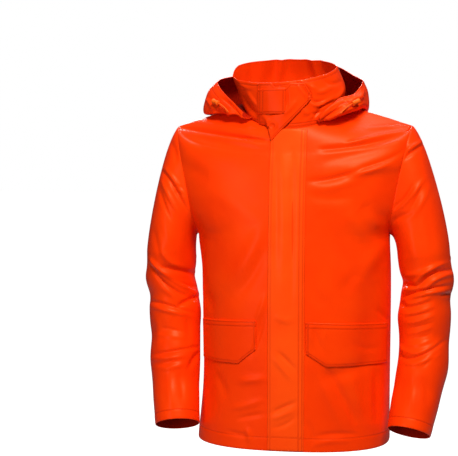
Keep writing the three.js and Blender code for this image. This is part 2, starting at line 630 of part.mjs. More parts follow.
const cloth = () => new THREE.MeshStandardMaterial({ color: ORANGE, roughness: 0.45, metalness: 0 });
const trim = () => new THREE.MeshStandardMaterial({ color: TRIM_ORANGE, roughness: 0.5, metalness: 0 });

const raincoat = new THREE.Group();
function add(name, geometry, material) {
  const mesh = new THREE.Mesh(geometry, material);
  mesh.name = name;
  raincoat.add(mesh);
  return mesh;
}

const sheets = {
  front_left: frontPanel(1),
  front_right: frontPanel(-1),
  back: backPanel(),
  sleeve_left: sleeve("left", 1),
  sleeve_right: sleeve("right", -1),
  collar: collar(),
  hood_side_left: hoodPiece(HOOD_ROWS[0].turn, HOOD_SEAM_TURN.left),
  hood_middle: hoodPiece(HOOD_SEAM_TURN.left, HOOD_SEAM_TURN.right),
  hood_side_right: hoodPiece(HOOD_SEAM_TURN.right, HOOD_ROWS[HOOD_ROWS.length - 1].turn),
  hood_tab: hoodTab(),
  storm_flap: stormFlap(),
  pocket_flap_left: pocketFlap(POCKETS.left, 1),
  pocket_flap_right: pocketFlap(POCKETS.right, -1),
  chin_guard: chinGuard(),
  throat_tab: throatTab(),
};
// Under the arm, where three cut edges meet at a sharp turn, the sleeve's edge stands a little further back.
const UNDERARM_EASE = 0.5;
const ARMHOLE_EASE = 0.08;
const UNDERARM_SHARP = 24;
for (const name of ["sleeve_left", "sleeve_right"]) {
  const count = sheets[name].columns;
  const nearness = (k) => Math.sin((Math.PI * k) / count) ** UNDERARM_SHARP;
  sheets[name].ease = armholeLoop(1).map((p, k) => ARMHOLE_EASE + UNDERARM_EASE * nearness(k));
}
// The wearer's-right sleeve is the other's mirror image, so its faces are turned to point outwards again.
sheets.sleeve_right.quads = sheets.sleeve_right.quads.map((quad) => quad.toReversed());
shareSeamNormals(Object.values(sheets));
for (const [name, sheet] of Object.entries(sheets)) {
  trimEdges(sheet);
  add(name, wallOf(sheet), cloth());
}

// A cord lock is a small waisted barrel; its cord runs from the hood's edge through it and ends free.
function cordLock() {
  const half = LOCK.length / 2;
  const profile = [
    [0, -half],
    [LOCK.radius - LOCK.edge, -half],
    [LOCK.radius, -half + LOCK.edge],
    [LOCK.waist, 0],
    [LOCK.radius, half - LOCK.edge],
    [LOCK.radius - LOCK.edge, half],
    [0, half],
  ];
  return new THREE.LatheGeometry(profile.map(([r, h]) => new THREE.Vector2(r, h)), LOCK.sides);
}

function cordTube(points) {
  const section = new THREE.Shape();
  for (let k = 0; k < CORD_SIDES; k++) {
    const angle = (2 * Math.PI * k) / CORD_SIDES;
    const [x, y] = [CORD_RADIUS * Math.cos(angle), CORD_RADIUS * Math.sin(angle)];
    if (k) section.lineTo(x, y);
    else section.moveTo(x, y);
  }
  const path = new THREE.CatmullRomCurve3(points);
  return new THREE.ExtrudeGeometry(section, { steps: CORD_STEPS, bevelEnabled: false, extrudePath: path });
}

for (const [name, place] of Object.entries(CORD_PLACES)) {
  const lift = CLOTH / 2 + LOCK.radius + SEAM_GAP;
  const seat = liftedHood(place.turn, place.place, lift);
  const ahead = liftedHood(place.turn + (name === "left" ? -CORD_LEAN : CORD_LEAN), place.place, lift);
  const way = ahead.clone().sub(seat).normalize();
  const lock = add("cord_lock_" + name, cordLock(), trim());
  lock.position.copy(seat);
  lock.quaternion.setFromUnitVectors(new THREE.Vector3(0, 1, 0), way);
  const end = seat.clone().addScaledVector(way, LOCK.length / 2 + SEAM_GAP);
  const tail = CORD_SHARES.map((share) => {
    const drop = new THREE.Vector3(0, CORD_DROP.y, CORD_DROP.z).multiplyScalar(share * share);
    return end.clone().addScaledVector(way, share * CORD_TAIL).add(drop);
  });
  add("cord_" + name, cordTube(tail), trim());
}

export default raincoat;
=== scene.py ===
# A hooded raincoat of coated orange cloth, filled out as if worn, with nobody in it.
# Shapes are worked out in millimetres and put into the meshes in metres.
import math

import bpy
import numpy as np
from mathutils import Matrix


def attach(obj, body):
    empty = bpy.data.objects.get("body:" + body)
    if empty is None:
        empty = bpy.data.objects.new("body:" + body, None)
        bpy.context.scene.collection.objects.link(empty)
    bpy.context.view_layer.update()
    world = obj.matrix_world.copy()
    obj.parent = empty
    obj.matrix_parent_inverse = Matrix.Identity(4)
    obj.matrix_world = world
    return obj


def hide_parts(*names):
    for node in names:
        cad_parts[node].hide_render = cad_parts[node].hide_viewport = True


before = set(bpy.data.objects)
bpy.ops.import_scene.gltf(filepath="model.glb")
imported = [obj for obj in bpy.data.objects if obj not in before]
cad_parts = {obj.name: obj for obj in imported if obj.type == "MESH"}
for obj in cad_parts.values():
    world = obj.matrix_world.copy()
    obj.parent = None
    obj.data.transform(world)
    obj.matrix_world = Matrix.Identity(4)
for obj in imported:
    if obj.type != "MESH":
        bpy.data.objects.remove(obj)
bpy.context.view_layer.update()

# The camera stands 3 m in front of the collar's height and 8 degrees round to the wearer's left. It is aimed down and
# aside, so that the jacket stands where it does in the 458 x 456 photograph.
PHOTO_WIDE = 458
CAMERA_FAR = 3000
CAMERA_TURN = math.radians(8)
CAMERA_HEIGHT = -50
AXIS_AT = {"x": 294, "y": 138.5}
PIXELS_A_MM = 0.4695
SENSOR_WIDE = 36
AIM_ASIDE = math.radians(2.64)
AIM_DOWN = math.radians(3.53)


def seen_at(points):
    """Pixel place of points in the photograph: across and height, scaled by the camera's distance over their depth."""
    x, y, z = points[..., 0], points[..., 1], points[..., 2]
    depth = CAMERA_FAR - x * math.sin(CAMERA_TURN) + y * math.cos(CAMERA_TURN)
    scale = PIXELS_A_MM * CAMERA_FAR / depth
    across = x * math.cos(CAMERA_TURN) + y * math.sin(CAMERA_TURN)
    return AXIS_AT["x"] + scale * across, AXIS_AT["y"] - scale * (z - CAMERA_HEIGHT)


camera_data = bpy.data.cameras.new("camera")
camera_data.sensor_width = SENSOR_WIDE
camera_data.lens = SENSOR_WIDE * PIXELS_A_MM * CAMERA_FAR / PHOTO_WIDE
camera_data.clip_end = 100
camera = bpy.data.objects.new("camera", camera_data)
bpy.context.collection.objects.link(camera)
TO_CAMERA = np.array([math.sin(CAMERA_TURN), -math.cos(CAMERA_TURN), 0])
camera.location = (
    TO_CAMERA[0] * CAMERA_FAR * 0.001,
    TO_CAMERA[1] * CAMERA_FAR * 0.001,
    CAMERA_HEIGHT * 0.001,
)
camera.rotation_euler = (math.pi / 2 - AIM_DOWN, 0, CAMERA_TURN + AIM_ASIDE)
bpy.context.scene.camera = camera
bpy.context.scene.view_settings.view_transform = "Standard"

# Studio light: a wide soft box high in front on the wearer's left, a weaker one on the right, a strip above and
# behind for the shoulders, a soft box behind for the back, and an even pale surround.
LAMPS = (
    ("key", (0.7, -2.3, 2.3), (1.3, 1.0), 150),
    ("fill", (-1.6, -3.0, 0.1), (0.8, 1.4), 26),
    ("top", (0.1, 0.6, 2.2), (2.4, 0.8), 30),
    ("rear", (-0.6, 3.2, 1.3), (1.8, 1.4), 110),
)
LAMP_AIM = (0, 0, -0.3)
for lamp_name, place, size, power in LAMPS:
    lamp_data = bpy.data.lights.new(lamp_name, "AREA")
    lamp_data.shape = "RECTANGLE"
    lamp_data.size, lamp_data.size_y = size
    lamp_data.energy = power
    lamp = bpy.data.objects.new(lamp_name, lamp_data)
    lamp.visible_camera = False
    bpy.context.collection.objects.link(lamp)
    lamp.location = place
    way = np.array(LAMP_AIM) - np.array(place)
    lamp.rotation_euler = (math.acos(-way[2] / np.linalg.norm(way)), 0, math.atan2(way[1], way[0]) - math.pi / 2)

SURROUND_SEEN = 1.0
SURROUND_LIGHT = 0.06
world = bpy.data.worlds.new("studio")
world.use_nodes = True
bpy.context.scene.world = world
world_nodes = world.node_tree.nodes
world_links = world.node_tree.links
surround = world_nodes["Background"]
seen = world_nodes.new("ShaderNodeBackground")
seen.inputs["Strength"].default_value = SURROUND_SEEN
seen.inputs["Color"].default_value = (1, 1, 1, 1)
surround.inputs["Color"].default_value = (1, 1, 1, 1)
surround.inputs["Strength"].default_value = SURROUND_LIGHT
path_kind = world_nodes.new("ShaderNodeLightPath")
choice = world_nodes.new("ShaderNodeMixShader")
world_links.new(path_kind.outputs["Is Camera Ray"], choice.inputs["Fac"])
world_links.new(surround.outputs["Background"], choice.inputs[1])
world_links.new(seen.outputs["Background"], choice.inputs[2])
world_links.new(choice.outputs["Shader"], world_nodes["World Output"].inputs["Surface"])

# The pale floor lies well below the hem, because the wearer's neck and shoulders hold the jacket up.
FLOOR_HALF = 30
FLOOR_DOWN = -1.3
FLOOR_GLOW = 1.0
floor_mesh = bpy.data.meshes.new("floor")
floor_corners = [(x * FLOOR_HALF, y * FLOOR_HALF, FLOOR_DOWN) for x, y in ((-1, -1), (1, -1), (1, 1), (-1, 1))]
floor_mesh.from_pydata(floor_corners, [], [(0, 1, 2, 3)])
floor = bpy.data.objects.new("floor", floor_mesh)
bpy.context.collection.objects.link(floor)
floor_paint = bpy.data.materials.new("pale_floor")
floor_paint.use_nodes = True
floor_shader = floor_paint.node_tree.nodes["Principled BSDF"]
floor_shader.inputs["Base Color"].default_value = (0.3, 0.3, 0.3, 1)
floor_shader.inputs["Roughness"].default_value = 0.9
floor_shader.inputs["Emission Color"].default_value = (1, 1, 1, 1)
# Only the camera sees the floor's own glow, so the floor is as pale as the surround and throws no light up.
glow = floor_paint.node_tree.nodes.new("ShaderNodeMath")
glow.operation = "MULTIPLY"
glow.inputs[1].default_value = FLOOR_GLOW
floor_ray = floor_paint.node_tree.nodes.new("ShaderNodeLightPath")
floor_paint.node_tree.links.new(floor_ray.outputs["Is Camera Ray"], glow.inputs[0])
floor_paint.node_tree.links.new(glow.outputs["Value"], floor_shader.inputs["Emission Strength"])
floor_mesh.materials.append(floor_paint)

# The two fronts and the back: panels of coated cloth, cut to a boxy hip-length body and welded at the side and
# shoulder seams. The fronts meet at the centre front under the storm flap, and the hem is turned in and stitched.
MM = 0.001
CLOTH = 1.5


def table(names, *rows):
    """Named columns from short rows."""
    return dict(zip(names.split(), np.array(rows, float).T))


# One row a level from hem to neck. mid is the centre front, side is the side seam up to the underarm row, then the
# armhole up to the tip row, then the shoulder seam. arc is how far round a row turns, square how boxy its curve is.
FRONT = table(
    "mid_y mid_z side_x side_y side_z arc square rise shift",
    (-136, -687, 204, 0, -682, 90, 2.4, 2, 1),
    (-135, -560, 200, 0, -560, 90, 2.35, 2, 5),
    (-134, -430, 201, 0, -430, 90, 2.3, 2, 5),
    (-133, -330, 202, 0, -325, 90, 2.25, 2, 4),
    (-130, -262, 203, 0, -245, 90, 2.2, 2, 0),
    (-128, -236, 206, -35, -228, 76, 2.2, 2, 0),
    (-126, -206, 211, -55, -202, 70, 2.15, 2, 0),
    (-123, -174, 217, -62, -168, 66, 2.1, 1.9, 0),
    (-119, -144, 225, -60, -128, 66, 2.1, 1.8, 0),
    (-115, -116, 234, -55, -87, 70, 2.1, 1.8, 0),
    (-111, -95, 242, -43, -50, 76, 2.1, 1.8, 0),
    (-108, -82, 247, -24, -27, 82, 2.1, 1.8, 0),
    (-105, -71, 249, 0, -18, 88, 2.1, 1.8, 0),
    (-101, -48, 174, -3, 6, 90, 2.1, 1.8, 0),
    (-97, -24, 97, -6, 27, 90, 2, 2, 0),
)
BACK_MIDDLE = table(
    "mid_y mid_z square",
    (133, -686, 2.4),
    (128, -560, 2.35),
    (124, -430, 2.3),
    (124, -325, 2.25),
    (124, -248, 2.2),
    (124, -226, 2.2),
    (123, -198, 2.15),
    (121, -168, 2.1),
    (118, -132, 2.1),
    (114, -100, 2.1),
    (109, -72, 2.1),
    (105, -52, 2.1),
    (100, -35, 2.1),
    (90, -4, 2.1),
    (78, 28, 2),
)
UNDERARM = 4
TIP = 12
NECK = 14
BACK_ARMHOLE_SHARE = 1.06
BACK = {**FRONT, **BACK_MIDDLE, "side_y": FRONT["side_y"].copy()}
BACK["side_y"][:TIP] *= -BACK_ARMHOLE_SHARE


def smooth(values, place, first=0, last=None):
    """A curve through evenly numbered values, read at any place: each stretch is the cubic that leaves and reaches its
    ends with the slope between their neighbours."""
    last = len(values) - 1 if last is None else last
    place = np.asarray(place, float)
    i = np.clip(np.floor(place).astype(int), first, last - 1)
    t = place - i

    def at(k):
        if values.ndim == 1:
            return values[k]
        return np.take_along_axis(values, k[None], 0)[0]

    here, ahead = at(i), at(i + 1)
    before = np.where(i > first, at(np.maximum(i - 1, 0)), 2 * here - ahead)
    after = np.where(i + 2 <= last, at(np.minimum(i + 2, len(values) - 1)), 2 * ahead - here)
    bend = 2 * before - 5 * here + 4 * ahead - after
    twist = 3 * (here - ahead) + after - before
    return here + 0.5 * t * (ahead - before + t * (bend + t * twist))


def mix(a, b, share):
    """A value on the way from a to b."""
    return a + (b - a) * share


def ease(low, high, value):
    """0 below low and 1 above high, with a soft slope between."""
    t = np.clip((value - low) / (high - low), 0, 1)
    return t * t * (3 - 2 * t)


def unit(vectors):
    """Vectors brought to length 1."""
    return vectors / np.maximum(np.linalg.norm(vectors, axis=-1, keepdims=True), 1e-9)


def arc_at(rows, level):
    """How far round a row turns, in radians."""
    return np.radians(np.minimum(90, smooth(rows["arc"], level)))


def body_base(rows, across, level, side):
    """Cloth of the body before its folds, side 1 for the wearer's left and -1 for the right. A row is a boxy quarter
    oval: x grows with a power of the sine of the turn, and y falls back with a power of its cosine."""
    across, level = np.broadcast_arrays(np.asarray(across, float), np.asarray(level, float))

    def edge(name):
        parts = [smooth(rows[name], level, *ends) for ends in ((0, UNDERARM), (UNDERARM, TIP), (TIP, NECK))]
        return np.where(level <= UNDERARM, parts[0], np.where(level <= TIP, parts[1], parts[2]))

    arc = arc_at(rows, level)
    power = 2 / smooth(rows["square"], level)
    turn = across * arc
    wide = (np.sin(turn) / np.sin(arc)) ** power
    deep = (1 - np.maximum(np.cos(turn), 0) ** power) / (1 - np.maximum(np.cos(arc), 0) ** power)
    climb = across ** smooth(rows["rise"], level)
    x = smooth(rows["shift"], level) + side * edge("side_x") * wide
    y = mix(smooth(rows["mid_y"], level), edge("side_y"), deep)
    z = mix(smooth(rows["mid_z"], level), edge("side_z"), climb)
    return np.stack([x, y, z], -1)


def out_of_body(rows, across, level, side):
    """Outward direction of the body's cloth, from four near points."""
    near = 1e-3
    held = np.clip(level, 0.002, NECK - 0.002)
    wide = body_base(rows, np.minimum(across + near, 1), held, side) - body_base(
        rows, np.maximum(across - near, 0), held, side
    )
    high = body_base(rows, across, held + near, side) - body_base(rows, across, held - near, side)
    facing = side if rows is FRONT else -side
    return unit(np.cross(wide, high)) * np.expand_dims(facing * np.ones_like(np.asarray(across, float) * 1.0), -1)


def crease_push(creases, x, y):
    """How far creases push cloth out at places x, y. A crease is a bend from its start through its middle to its end,
    with a bell across it of its half width that thins out towards both ends."""
    push = np.zeros_like(x)
    steps = np.linspace(0, 1, 17)
    for x0, y0, xm, ym, x1, y1, half, out in creases:
        reach = 3 * half
        inside = (
            (x > min(x0, xm, x1) - reach)
            & (x < max(x0, xm, x1) + reach)
            & (y > min(y0, ym, y1) - reach)
            & (y < max(y0, ym, y1) + reach)
        )
        if not inside.any():
            continue
        px, py = x[inside], y[inside]
        nearest = np.full(px.shape, 1e9)
        where = np.zeros(px.shape)
        line_x = (1 - steps) ** 2 * x0 + 2 * steps * (1 - steps) * (2 * xm - (x0 + x1) / 2) + steps**2 * x1
        line_y = (1 - steps) ** 2 * y0 + 2 * steps * (1 - steps) * (2 * ym - (y0 + y1) / 2) + steps**2 * y1
        for k in range(len(steps) - 1):
            dx, dy = line_x[k + 1] - line_x[k], line_y[k + 1] - line_y[k]
            t = np.clip(((px - line_x[k]) * dx + (py - line_y[k]) * dy) / (dx * dx + dy * dy), 0, 1)
            off = np.hypot(px - line_x[k] - t * dx, py - line_y[k] - t * dy)
            better = off < nearest
            nearest[better] = off[better]
            where[better] = (k + t[better]) / (len(steps) - 1)
        thin = np.sin(np.pi * np.clip(where, 0.02, 0.98)) ** 0.55
        push[inside] += out * thin * np.exp(-((nearest / half) ** 2) * 1.2)
    return push


# Main forms of the panels in the front and back view, in millimetres: start, middle and end, half width, how far out.
FRONT_FOLDS = (
    (-232, -98, -200, -112, -165, -122, 17, -1.6),
    (-200, -250, -170, -232, -140, -215, 20, 1.2),
    (230, -58, 150, -75, 70, -92, 14, -3.5),
    (232, -98, 176, -107, 120, -116, 12, 3.4),
    (205, -215, 177, -197, 150, -180, 16, -3),
    (196, -255, 173, -292, 150, -330, 18, 4),
    (70, -540, 122, -522, 175, -505, 16, -3),
    (178, -330, 171, -485, 165, -640, 27, -5),
    (-178, -330, -175, -490, -172, -650, 27, -4),
)
BACK_FOLDS = (
    (-215, -150, -167, -167, -120, -185, 18, -6),
    (-205, -215, -157, -247, -110, -280, 20, 5),
    (215, -150, 167, -167, 120, -185, 18, -6),
    (205, -215, 157, -252, 110, -290, 20, 5),
    (110, -200, 95, -335, 80, -470, 22, -5),
    (-100, -220, -80, -370, -60, -520, 24, -5),
    (20, -330, 15, -485, 10, -640, 26, 5),
    (-165, -60, -160, -160, -140, -300, 9, 3),
    (-130, -70, -122, -190, -118, -330, 8, -3),
    (150, -60, 150, -170, 132, -320, 9, 3),
    (118, -90, 108, -200, 104, -340, 8, -2.5),
    (-60, -110, -58, -240, -50, -400, 12, 2.5),
    (62, -120, 56, -260, 48, -440, 12, 2.5),
    (-190, -250, -120, -285, -60, -300, 8, 2),
    (190, -262, 130, -300, 70, -318, 8, -2),
    (-180, -420, -100, -450, -20, -445, 10, -1.8),
    (170, -470, 90, -500, 10, -505, 10, 1.8),
    (-195, -120, -150, -105, -110, -70, 7, -2.5),
    (195, -118, 150, -105, 112, -74, 7, -2.5),
)
# Creases as they show in the photograph's pixels: start, middle and end, half width, how far out in millimetres.
FRONT_CREASES = (
    (176, 124, 222, 131.3, 268, 138.5, 1.9, -4.6),
    (186, 118, 222, 124, 258, 131, 4.5, 2.6),
    (184, 130, 225, 136.5, 264, 143.5, 3.2, 2.2),
    (180, 134, 193, 139, 206, 146, 3, -0.9),
    (210, 188, 236, 202, 259, 221, 9, 1.0),
    (262, 222, 250, 252, 222, 288, 9, 2.4),
    (262, 246, 254, 270, 236, 296, 6, -1.6),
    (264, 312, 259, 334, 251, 355, 2.2, -1.9),
    (266, 292, 262, 305, 257, 318, 3, 1.4),
    (237, 419, 250, 416, 264, 413.5, 2.6, -1.2),
    (232, 408, 246, 405, 262, 400, 3.5, 1.2),
    (240, 381, 252, 379, 266, 378, 4, 1.7),
    (246, 428, 249, 435, 250, 443, 2.6, 1.4),
    (226, 431, 238, 434, 249, 436, 2.4, -1.1),
    (214, 372, 222, 384, 226, 398, 4.5, -1.4),
    (204, 290, 209, 300, 210, 312, 5, -1.6),
    (204, 236, 202, 262, 205, 288, 3.5, -1.5),
    (345, 141.6, 374, 135.4, 407, 128.5, 2.3, 3.2),
    (320, 146.5, 346, 144.2, 402, 134.5, 3, -2.6),
    (366, 126.5, 385, 125, 408, 125, 2.4, 1.8),
    (309, 178, 338, 174.6, 377, 160.5, 3.2, -2.6),
    (362, 165, 380, 160.5, 402, 149, 2.6, -2.4),
    (352, 172, 374, 165.5, 400, 153.5, 3, 2.2),
    (310, 186, 336, 184, 362, 175, 4.5, 1.8),
    (310, 193, 330, 196, 356, 193, 5, -1.2),
    (326, 206, 334, 236, 354, 272, 9, -2.2),
    (346, 208, 360, 226, 372, 246, 7, 1.6),
    (368, 203, 374, 214, 378, 226, 7, 2.4),
    (344, 292, 352, 276, 366, 262, 7, -1.6),
    (306, 268, 316, 292, 326, 306, 7, -1.3),
    (378, 305, 384, 312, 390, 318, 3, -1.5),
    (326, 366, 341, 391, 359, 426, 4.6, -3.4),
    (318, 372, 330, 398, 344, 430, 5, 1.8),
    (350, 372, 357, 392, 366, 414, 5.5, 1.5),
    (378, 366, 379, 394, 379, 424, 4.5, -2.6),
    (315, 436, 338, 433, 360, 434, 2.6, -1.3),
    (312, 446, 330, 441, 350, 441, 2.6, 1),
    (306, 420, 312, 432, 312, 446, 3, -1),
    (396, 205, 392, 214, 388, 224, 3, -1.5),
)
HEM_TURN = 27
SIDE_FADE = 0.05
NECK_FADE = 0.6
CREASE_DEPTH = 1.6
FOLD_DEPTH = 1.3


def body_surface(rows, across, level, side, lift=0):
    """Cloth of the front or back with its folds and creases, which fade out at the side seam and the neck."""
    across, level = np.broadcast_arrays(np.asarray(across, float), np.asarray(level, float))
    side = np.broadcast_to(np.asarray(side, float), across.shape)
    base = body_base(rows, across, level, side)
    normal = out_of_body(rows, across, level, side)
    fade = np.minimum(1, (1 - across) / SIDE_FADE) * np.minimum(1, (NECK - level) / NECK_FADE)
    folds = FRONT_FOLDS if rows is FRONT else BACK_FOLDS
    push = FOLD_DEPTH * crease_push(folds, base[..., 0], base[..., 2])
    if rows is FRONT:
        push = push + CREASE_DEPTH * crease_push(FRONT_CREASES, *seen_at(base))
    push = push * ease(0, 1, fade) + lift
    return base + normal * push[..., None]


def grid_normals(points, closed=False):
    """Directions square to a grid of points: across its columns times up its rows."""
    if closed:
        wrapped = np.concatenate([points[:, -1:], points, points[:, :1]], 1)
        across = np.gradient(wrapped, axis=1)[:, 1:-1]
    else:
        across = np.gradient(points, axis=1)
    return unit(np.cross(across, np.gradient(points, axis=0)))


def lengths(points, axis):
    """How far each point of a grid lies along its row or column, from the first one."""
    steps = np.linalg.norm(np.diff(points, axis=axis), axis=-1)
    start = np.zeros_like(np.take(steps, [0], axis))
    return np.concatenate([start, np.cumsum(steps, axis)], axis)


def spaced(count, edge_steps=(0.0025, 0.006, 0.012)):
    """Shares from 0 to 1 with a few finer steps at both ends, for a crisp edge."""
    inner = np.linspace(edge_steps[-1], 1 - edge_steps[-1], count - 2 * len(edge_steps))
    head = np.array((0,) + edge_steps[:-1])
    return np.concatenate([head, inner, 1 - head[::-1]])


def from_edge(points, edge):
    """How far each point of a grid lies from one of its edges, along the cloth."""
    along = lengths(points, 0 if edge in ("bottom", "top") else 1)
    if edge == "top":
        along = along[-1:] - along
    if edge == "right":
        along = along[:, -1:] - along
    return along


def edge_path(points, edge, offset, start=0, end=1):
    """A line on a grid that keeps its distance from an edge, from one share of that edge to another."""
    far = from_edge(points, edge)
    lines = points.swapaxes(0, 1) if edge in ("bottom", "top") else points
    far = far.swapaxes(0, 1) if edge in ("bottom", "top") else far
    if edge in ("top", "right"):
        lines, far = lines[:, ::-1], far[:, ::-1]
    first, last = round(start * (len(lines) - 1)), round(end * (len(lines) - 1))
    picked = range(first, last + 1)
    return np.array([[np.interp(offset, far[k], lines[k, :, c]) for c in range(3)] for k in picked])


def put_mesh(name, points, faces, smooth_faces=True):
    """A mesh object from points in millimetres and lists of corners."""
    mesh = bpy.data.meshes.new(name)
    mesh.from_pydata((points * MM).tolist(), [], [face.tolist() for face in faces])
    if smooth_faces:
        mesh.polygons.foreach_set("use_smooth", np.ones(len(mesh.polygons), bool))
    piece = bpy.data.objects.new(name, mesh)
    bpy.context.collection.objects.link(piece)
    return piece


def quads_between(first, second):
    """Quads between two rows of vertex numbers."""
    return np.stack([first[:-1], first[1:], second[1:], second[:-1]], 1)


def cloth_wall(name, points, closed=False, stitched=None, thick=CLOTH, curl=0.5, materials=()):
    """A closed cloth wall on a grid: an outer and an inner layer half a thickness off it, with a rounded cut edge all
    round. stitched is each point's distance to the nearest sewn line, which the cloth's finish reads."""
    rows, columns = points.shape[:2]
    normals = grid_normals(points, closed)
    edges = [from_edge(points, "bottom"), from_edge(points, "top")]
    if not closed:
        edges += [from_edge(points, "left"), from_edge(points, "right")]
    rim_near = np.min(np.stack([np.broadcast_to(e, (rows, columns)) for e in edges]), 0)
    dip = curl * np.exp(-((rim_near / 1.6) ** 2))
    points = points - normals * dip[..., None]
    count = rows * columns
    outer = (points + normals * thick / 2).reshape(-1, 3)
    inner = (points - normals * thick / 2).reshape(-1, 3)
    number = np.arange(count).reshape(rows, columns)
    if closed:
        wrapped = np.concatenate([number, number[:, :1]], 1)
        loops = [wrapped[0], wrapped[-1][::-1]]
    else:
        wrapped = number
        loops = [np.concatenate([number[0], number[1:, -1], number[-1, -2::-1], number[-2::-1, 0]])]
    a, b = wrapped[:-1, :-1].ravel(), wrapped[:-1, 1:].ravel()
    c, d = wrapped[1:, 1:].ravel(), wrapped[1:, :-1].ravel()
    faces = [np.stack([a, b, c, d], 1), np.stack([a, d, c, b], 1) + count]
    inner_faces = len(a)
    flat_points, flat_normals = points.reshape(-1, 3), normals.reshape(-1, 3)
    rims, start = [], 2 * count
    for loop in loops:
        line = loop[:-1]
        along = np.roll(flat_points[line], -1, 0) - np.roll(flat_points[line], 1, 0)
        outwards = unit(np.cross(along, flat_normals[line]))
        rims.append(flat_points[line] + outwards * thick * 0.42)
        ring = np.concatenate([np.arange(len(line)), [0]]) + start
        faces += [quads_between(ring, loop), quads_between(loop + count, ring)]
        start += len(line)
    piece = put_mesh(name, np.concatenate([outer, inner] + rims), np.concatenate(faces))
    mesh = piece.data
    rim_lines = np.concatenate([loop[:-1] for loop in loops])
    if stitched is None:
        stitched = np.full((rows, columns), 99.0)
    values = np.concatenate([stitched.ravel(), np.full(count, 99.0), stitched.ravel()[rim_lines]])
    mesh.attributes.new("stitch_gap", "FLOAT", "POINT").data.foreach_set("value", values.astype(np.float32))
    across, up = lengths(points, 1).ravel(), lengths(points, 0).ravel()
    places = np.stack([across, up], 1)
    places = np.concatenate([places, places, places[rim_lines]]) * MM
    corner_vertices = np.zeros(len(mesh.loops), int)
    mesh.loops.foreach_get("vertex_index", corner_vertices)
    mesh.uv_layers.new(name="cloth").data.foreach_set("uv", places[corner_vertices].astype(np.float32).ravel())
    for material in materials:
        mesh.materials.append(material)
    slots = np.zeros(len(mesh.polygons), np.int32)
    slots[inner_faces : 2 * inner_faces] = 1
    mesh.polygons.foreach_set("material_index", slots)
    mesh.update()
    return piece


def coated_cloth(name, orange, deep, rough, grain):
    """The coated face: a smooth orange film over knit. A large soft noise shifts the colour between two oranges, fine
    noise gives the film's orange-peel grain, and the groove beside each sewn line comes from the stitch distance:
    it is sunk with a bump and its colour is painted darker there, as painted shade in the groove."""
    finish = bpy.data.materials.new(name)
    finish.use_nodes = True
    nodes, links = finish.node_tree.nodes, finish.node_tree.links
    shader = nodes["Principled BSDF"]
    place = nodes.new("ShaderNodeTexCoord")
    broad = nodes.new("ShaderNodeTexNoise")
    broad.inputs["Scale"].default_value = 9
    broad.inputs["Detail"].default_value = 4
    links.new(place.outputs["Object"], broad.inputs["Vector"])
    tone = nodes.new("ShaderNodeValToRGB")
    tone.color_ramp.elements[0].position, tone.color_ramp.elements[0].color = 0.32, (*deep, 1)
    tone.color_ramp.elements[1].position, tone.color_ramp.elements[1].color = 0.68, (*orange, 1)
    links.new(broad.outputs["Fac"], tone.inputs["Fac"])
    gap = nodes.new("ShaderNodeAttribute")
    gap.attribute_name = "stitch_gap"
    groove = nodes.new("ShaderNodeMapRange")
    groove.interpolation_type = "SMOOTHSTEP"
    groove.inputs["From Min"].default_value = 0.3
    groove.inputs["From Max"].default_value = 2.6
    links.new(gap.outputs["Fac"], groove.inputs["Value"])
    # Painted shade: near each sewn line the colour is mixed towards a darker orange, standing in for the shade in the
    # groove.
    shade = nodes.new("ShaderNodeMix")
    shade.data_type = "RGBA"
    shade.inputs["A"].default_value = (deep[0] * 0.8, deep[1] * 0.68, deep[2] * 0.7, 1)
    links.new(tone.outputs["Color"], shade.inputs["B"])
    links.new(groove.outputs["Result"], shade.inputs["Factor"])
    links.new(shade.outputs["Result"], shader.inputs["Base Color"])
    fine = nodes.new("ShaderNodeTexNoise")
    fine.inputs["Scale"].default_value = 850
    fine.inputs["Detail"].default_value = 3
    links.new(place.outputs["Object"], fine.inputs["Vector"])
    dents = nodes.new("ShaderNodeTexNoise")
    dents.inputs["Scale"].default_value = 34
    dents.inputs["Detail"].default_value = 5
    dents.inputs["Roughness"].default_value = 0.6
    links.new(place.outputs["Object"], dents.inputs["Vector"])
    gloss = nodes.new("ShaderNodeMapRange")
    gloss.inputs["To Min"].default_value = rough - 0.06
    gloss.inputs["To Max"].default_value = rough + 0.07
    links.new(dents.outputs["Fac"], gloss.inputs["Value"])
    links.new(gloss.outputs["Result"], shader.inputs["Roughness"])
    film = nodes.new("ShaderNodeBump")
    film.inputs["Strength"].default_value = grain
    film.inputs["Distance"].default_value = 0.0003
    links.new(fine.outputs["Fac"], film.inputs["Height"])
    soft = nodes.new("ShaderNodeBump")
    soft.inputs["Strength"].default_value = 0.35
    soft.inputs["Distance"].default_value = 0.0022
    links.new(dents.outputs["Fac"], soft.inputs["Height"])
    links.new(film.outputs["Normal"], soft.inputs["Normal"])
    sunk = nodes.new("ShaderNodeBump")
    sunk.inputs["Strength"].default_value = 0.6
    sunk.inputs["Distance"].default_value = 0.0007
    links.new(groove.outputs["Result"], sunk.inputs["Height"])
    links.new(soft.outputs["Normal"], sunk.inputs["Normal"])
    links.new(sunk.outputs["Normal"], shader.inputs["Normal"])
    shader.inputs["Specular IOR Level"].default_value = 0.5
    shader.inputs["Specular Tint"].default_value = (1, 0.2, 0.04, 1)
    shader.inputs["Coat Weight"].default_value = 0.03
    shader.inputs["Coat Roughness"].default_value = 0.28
    return finish


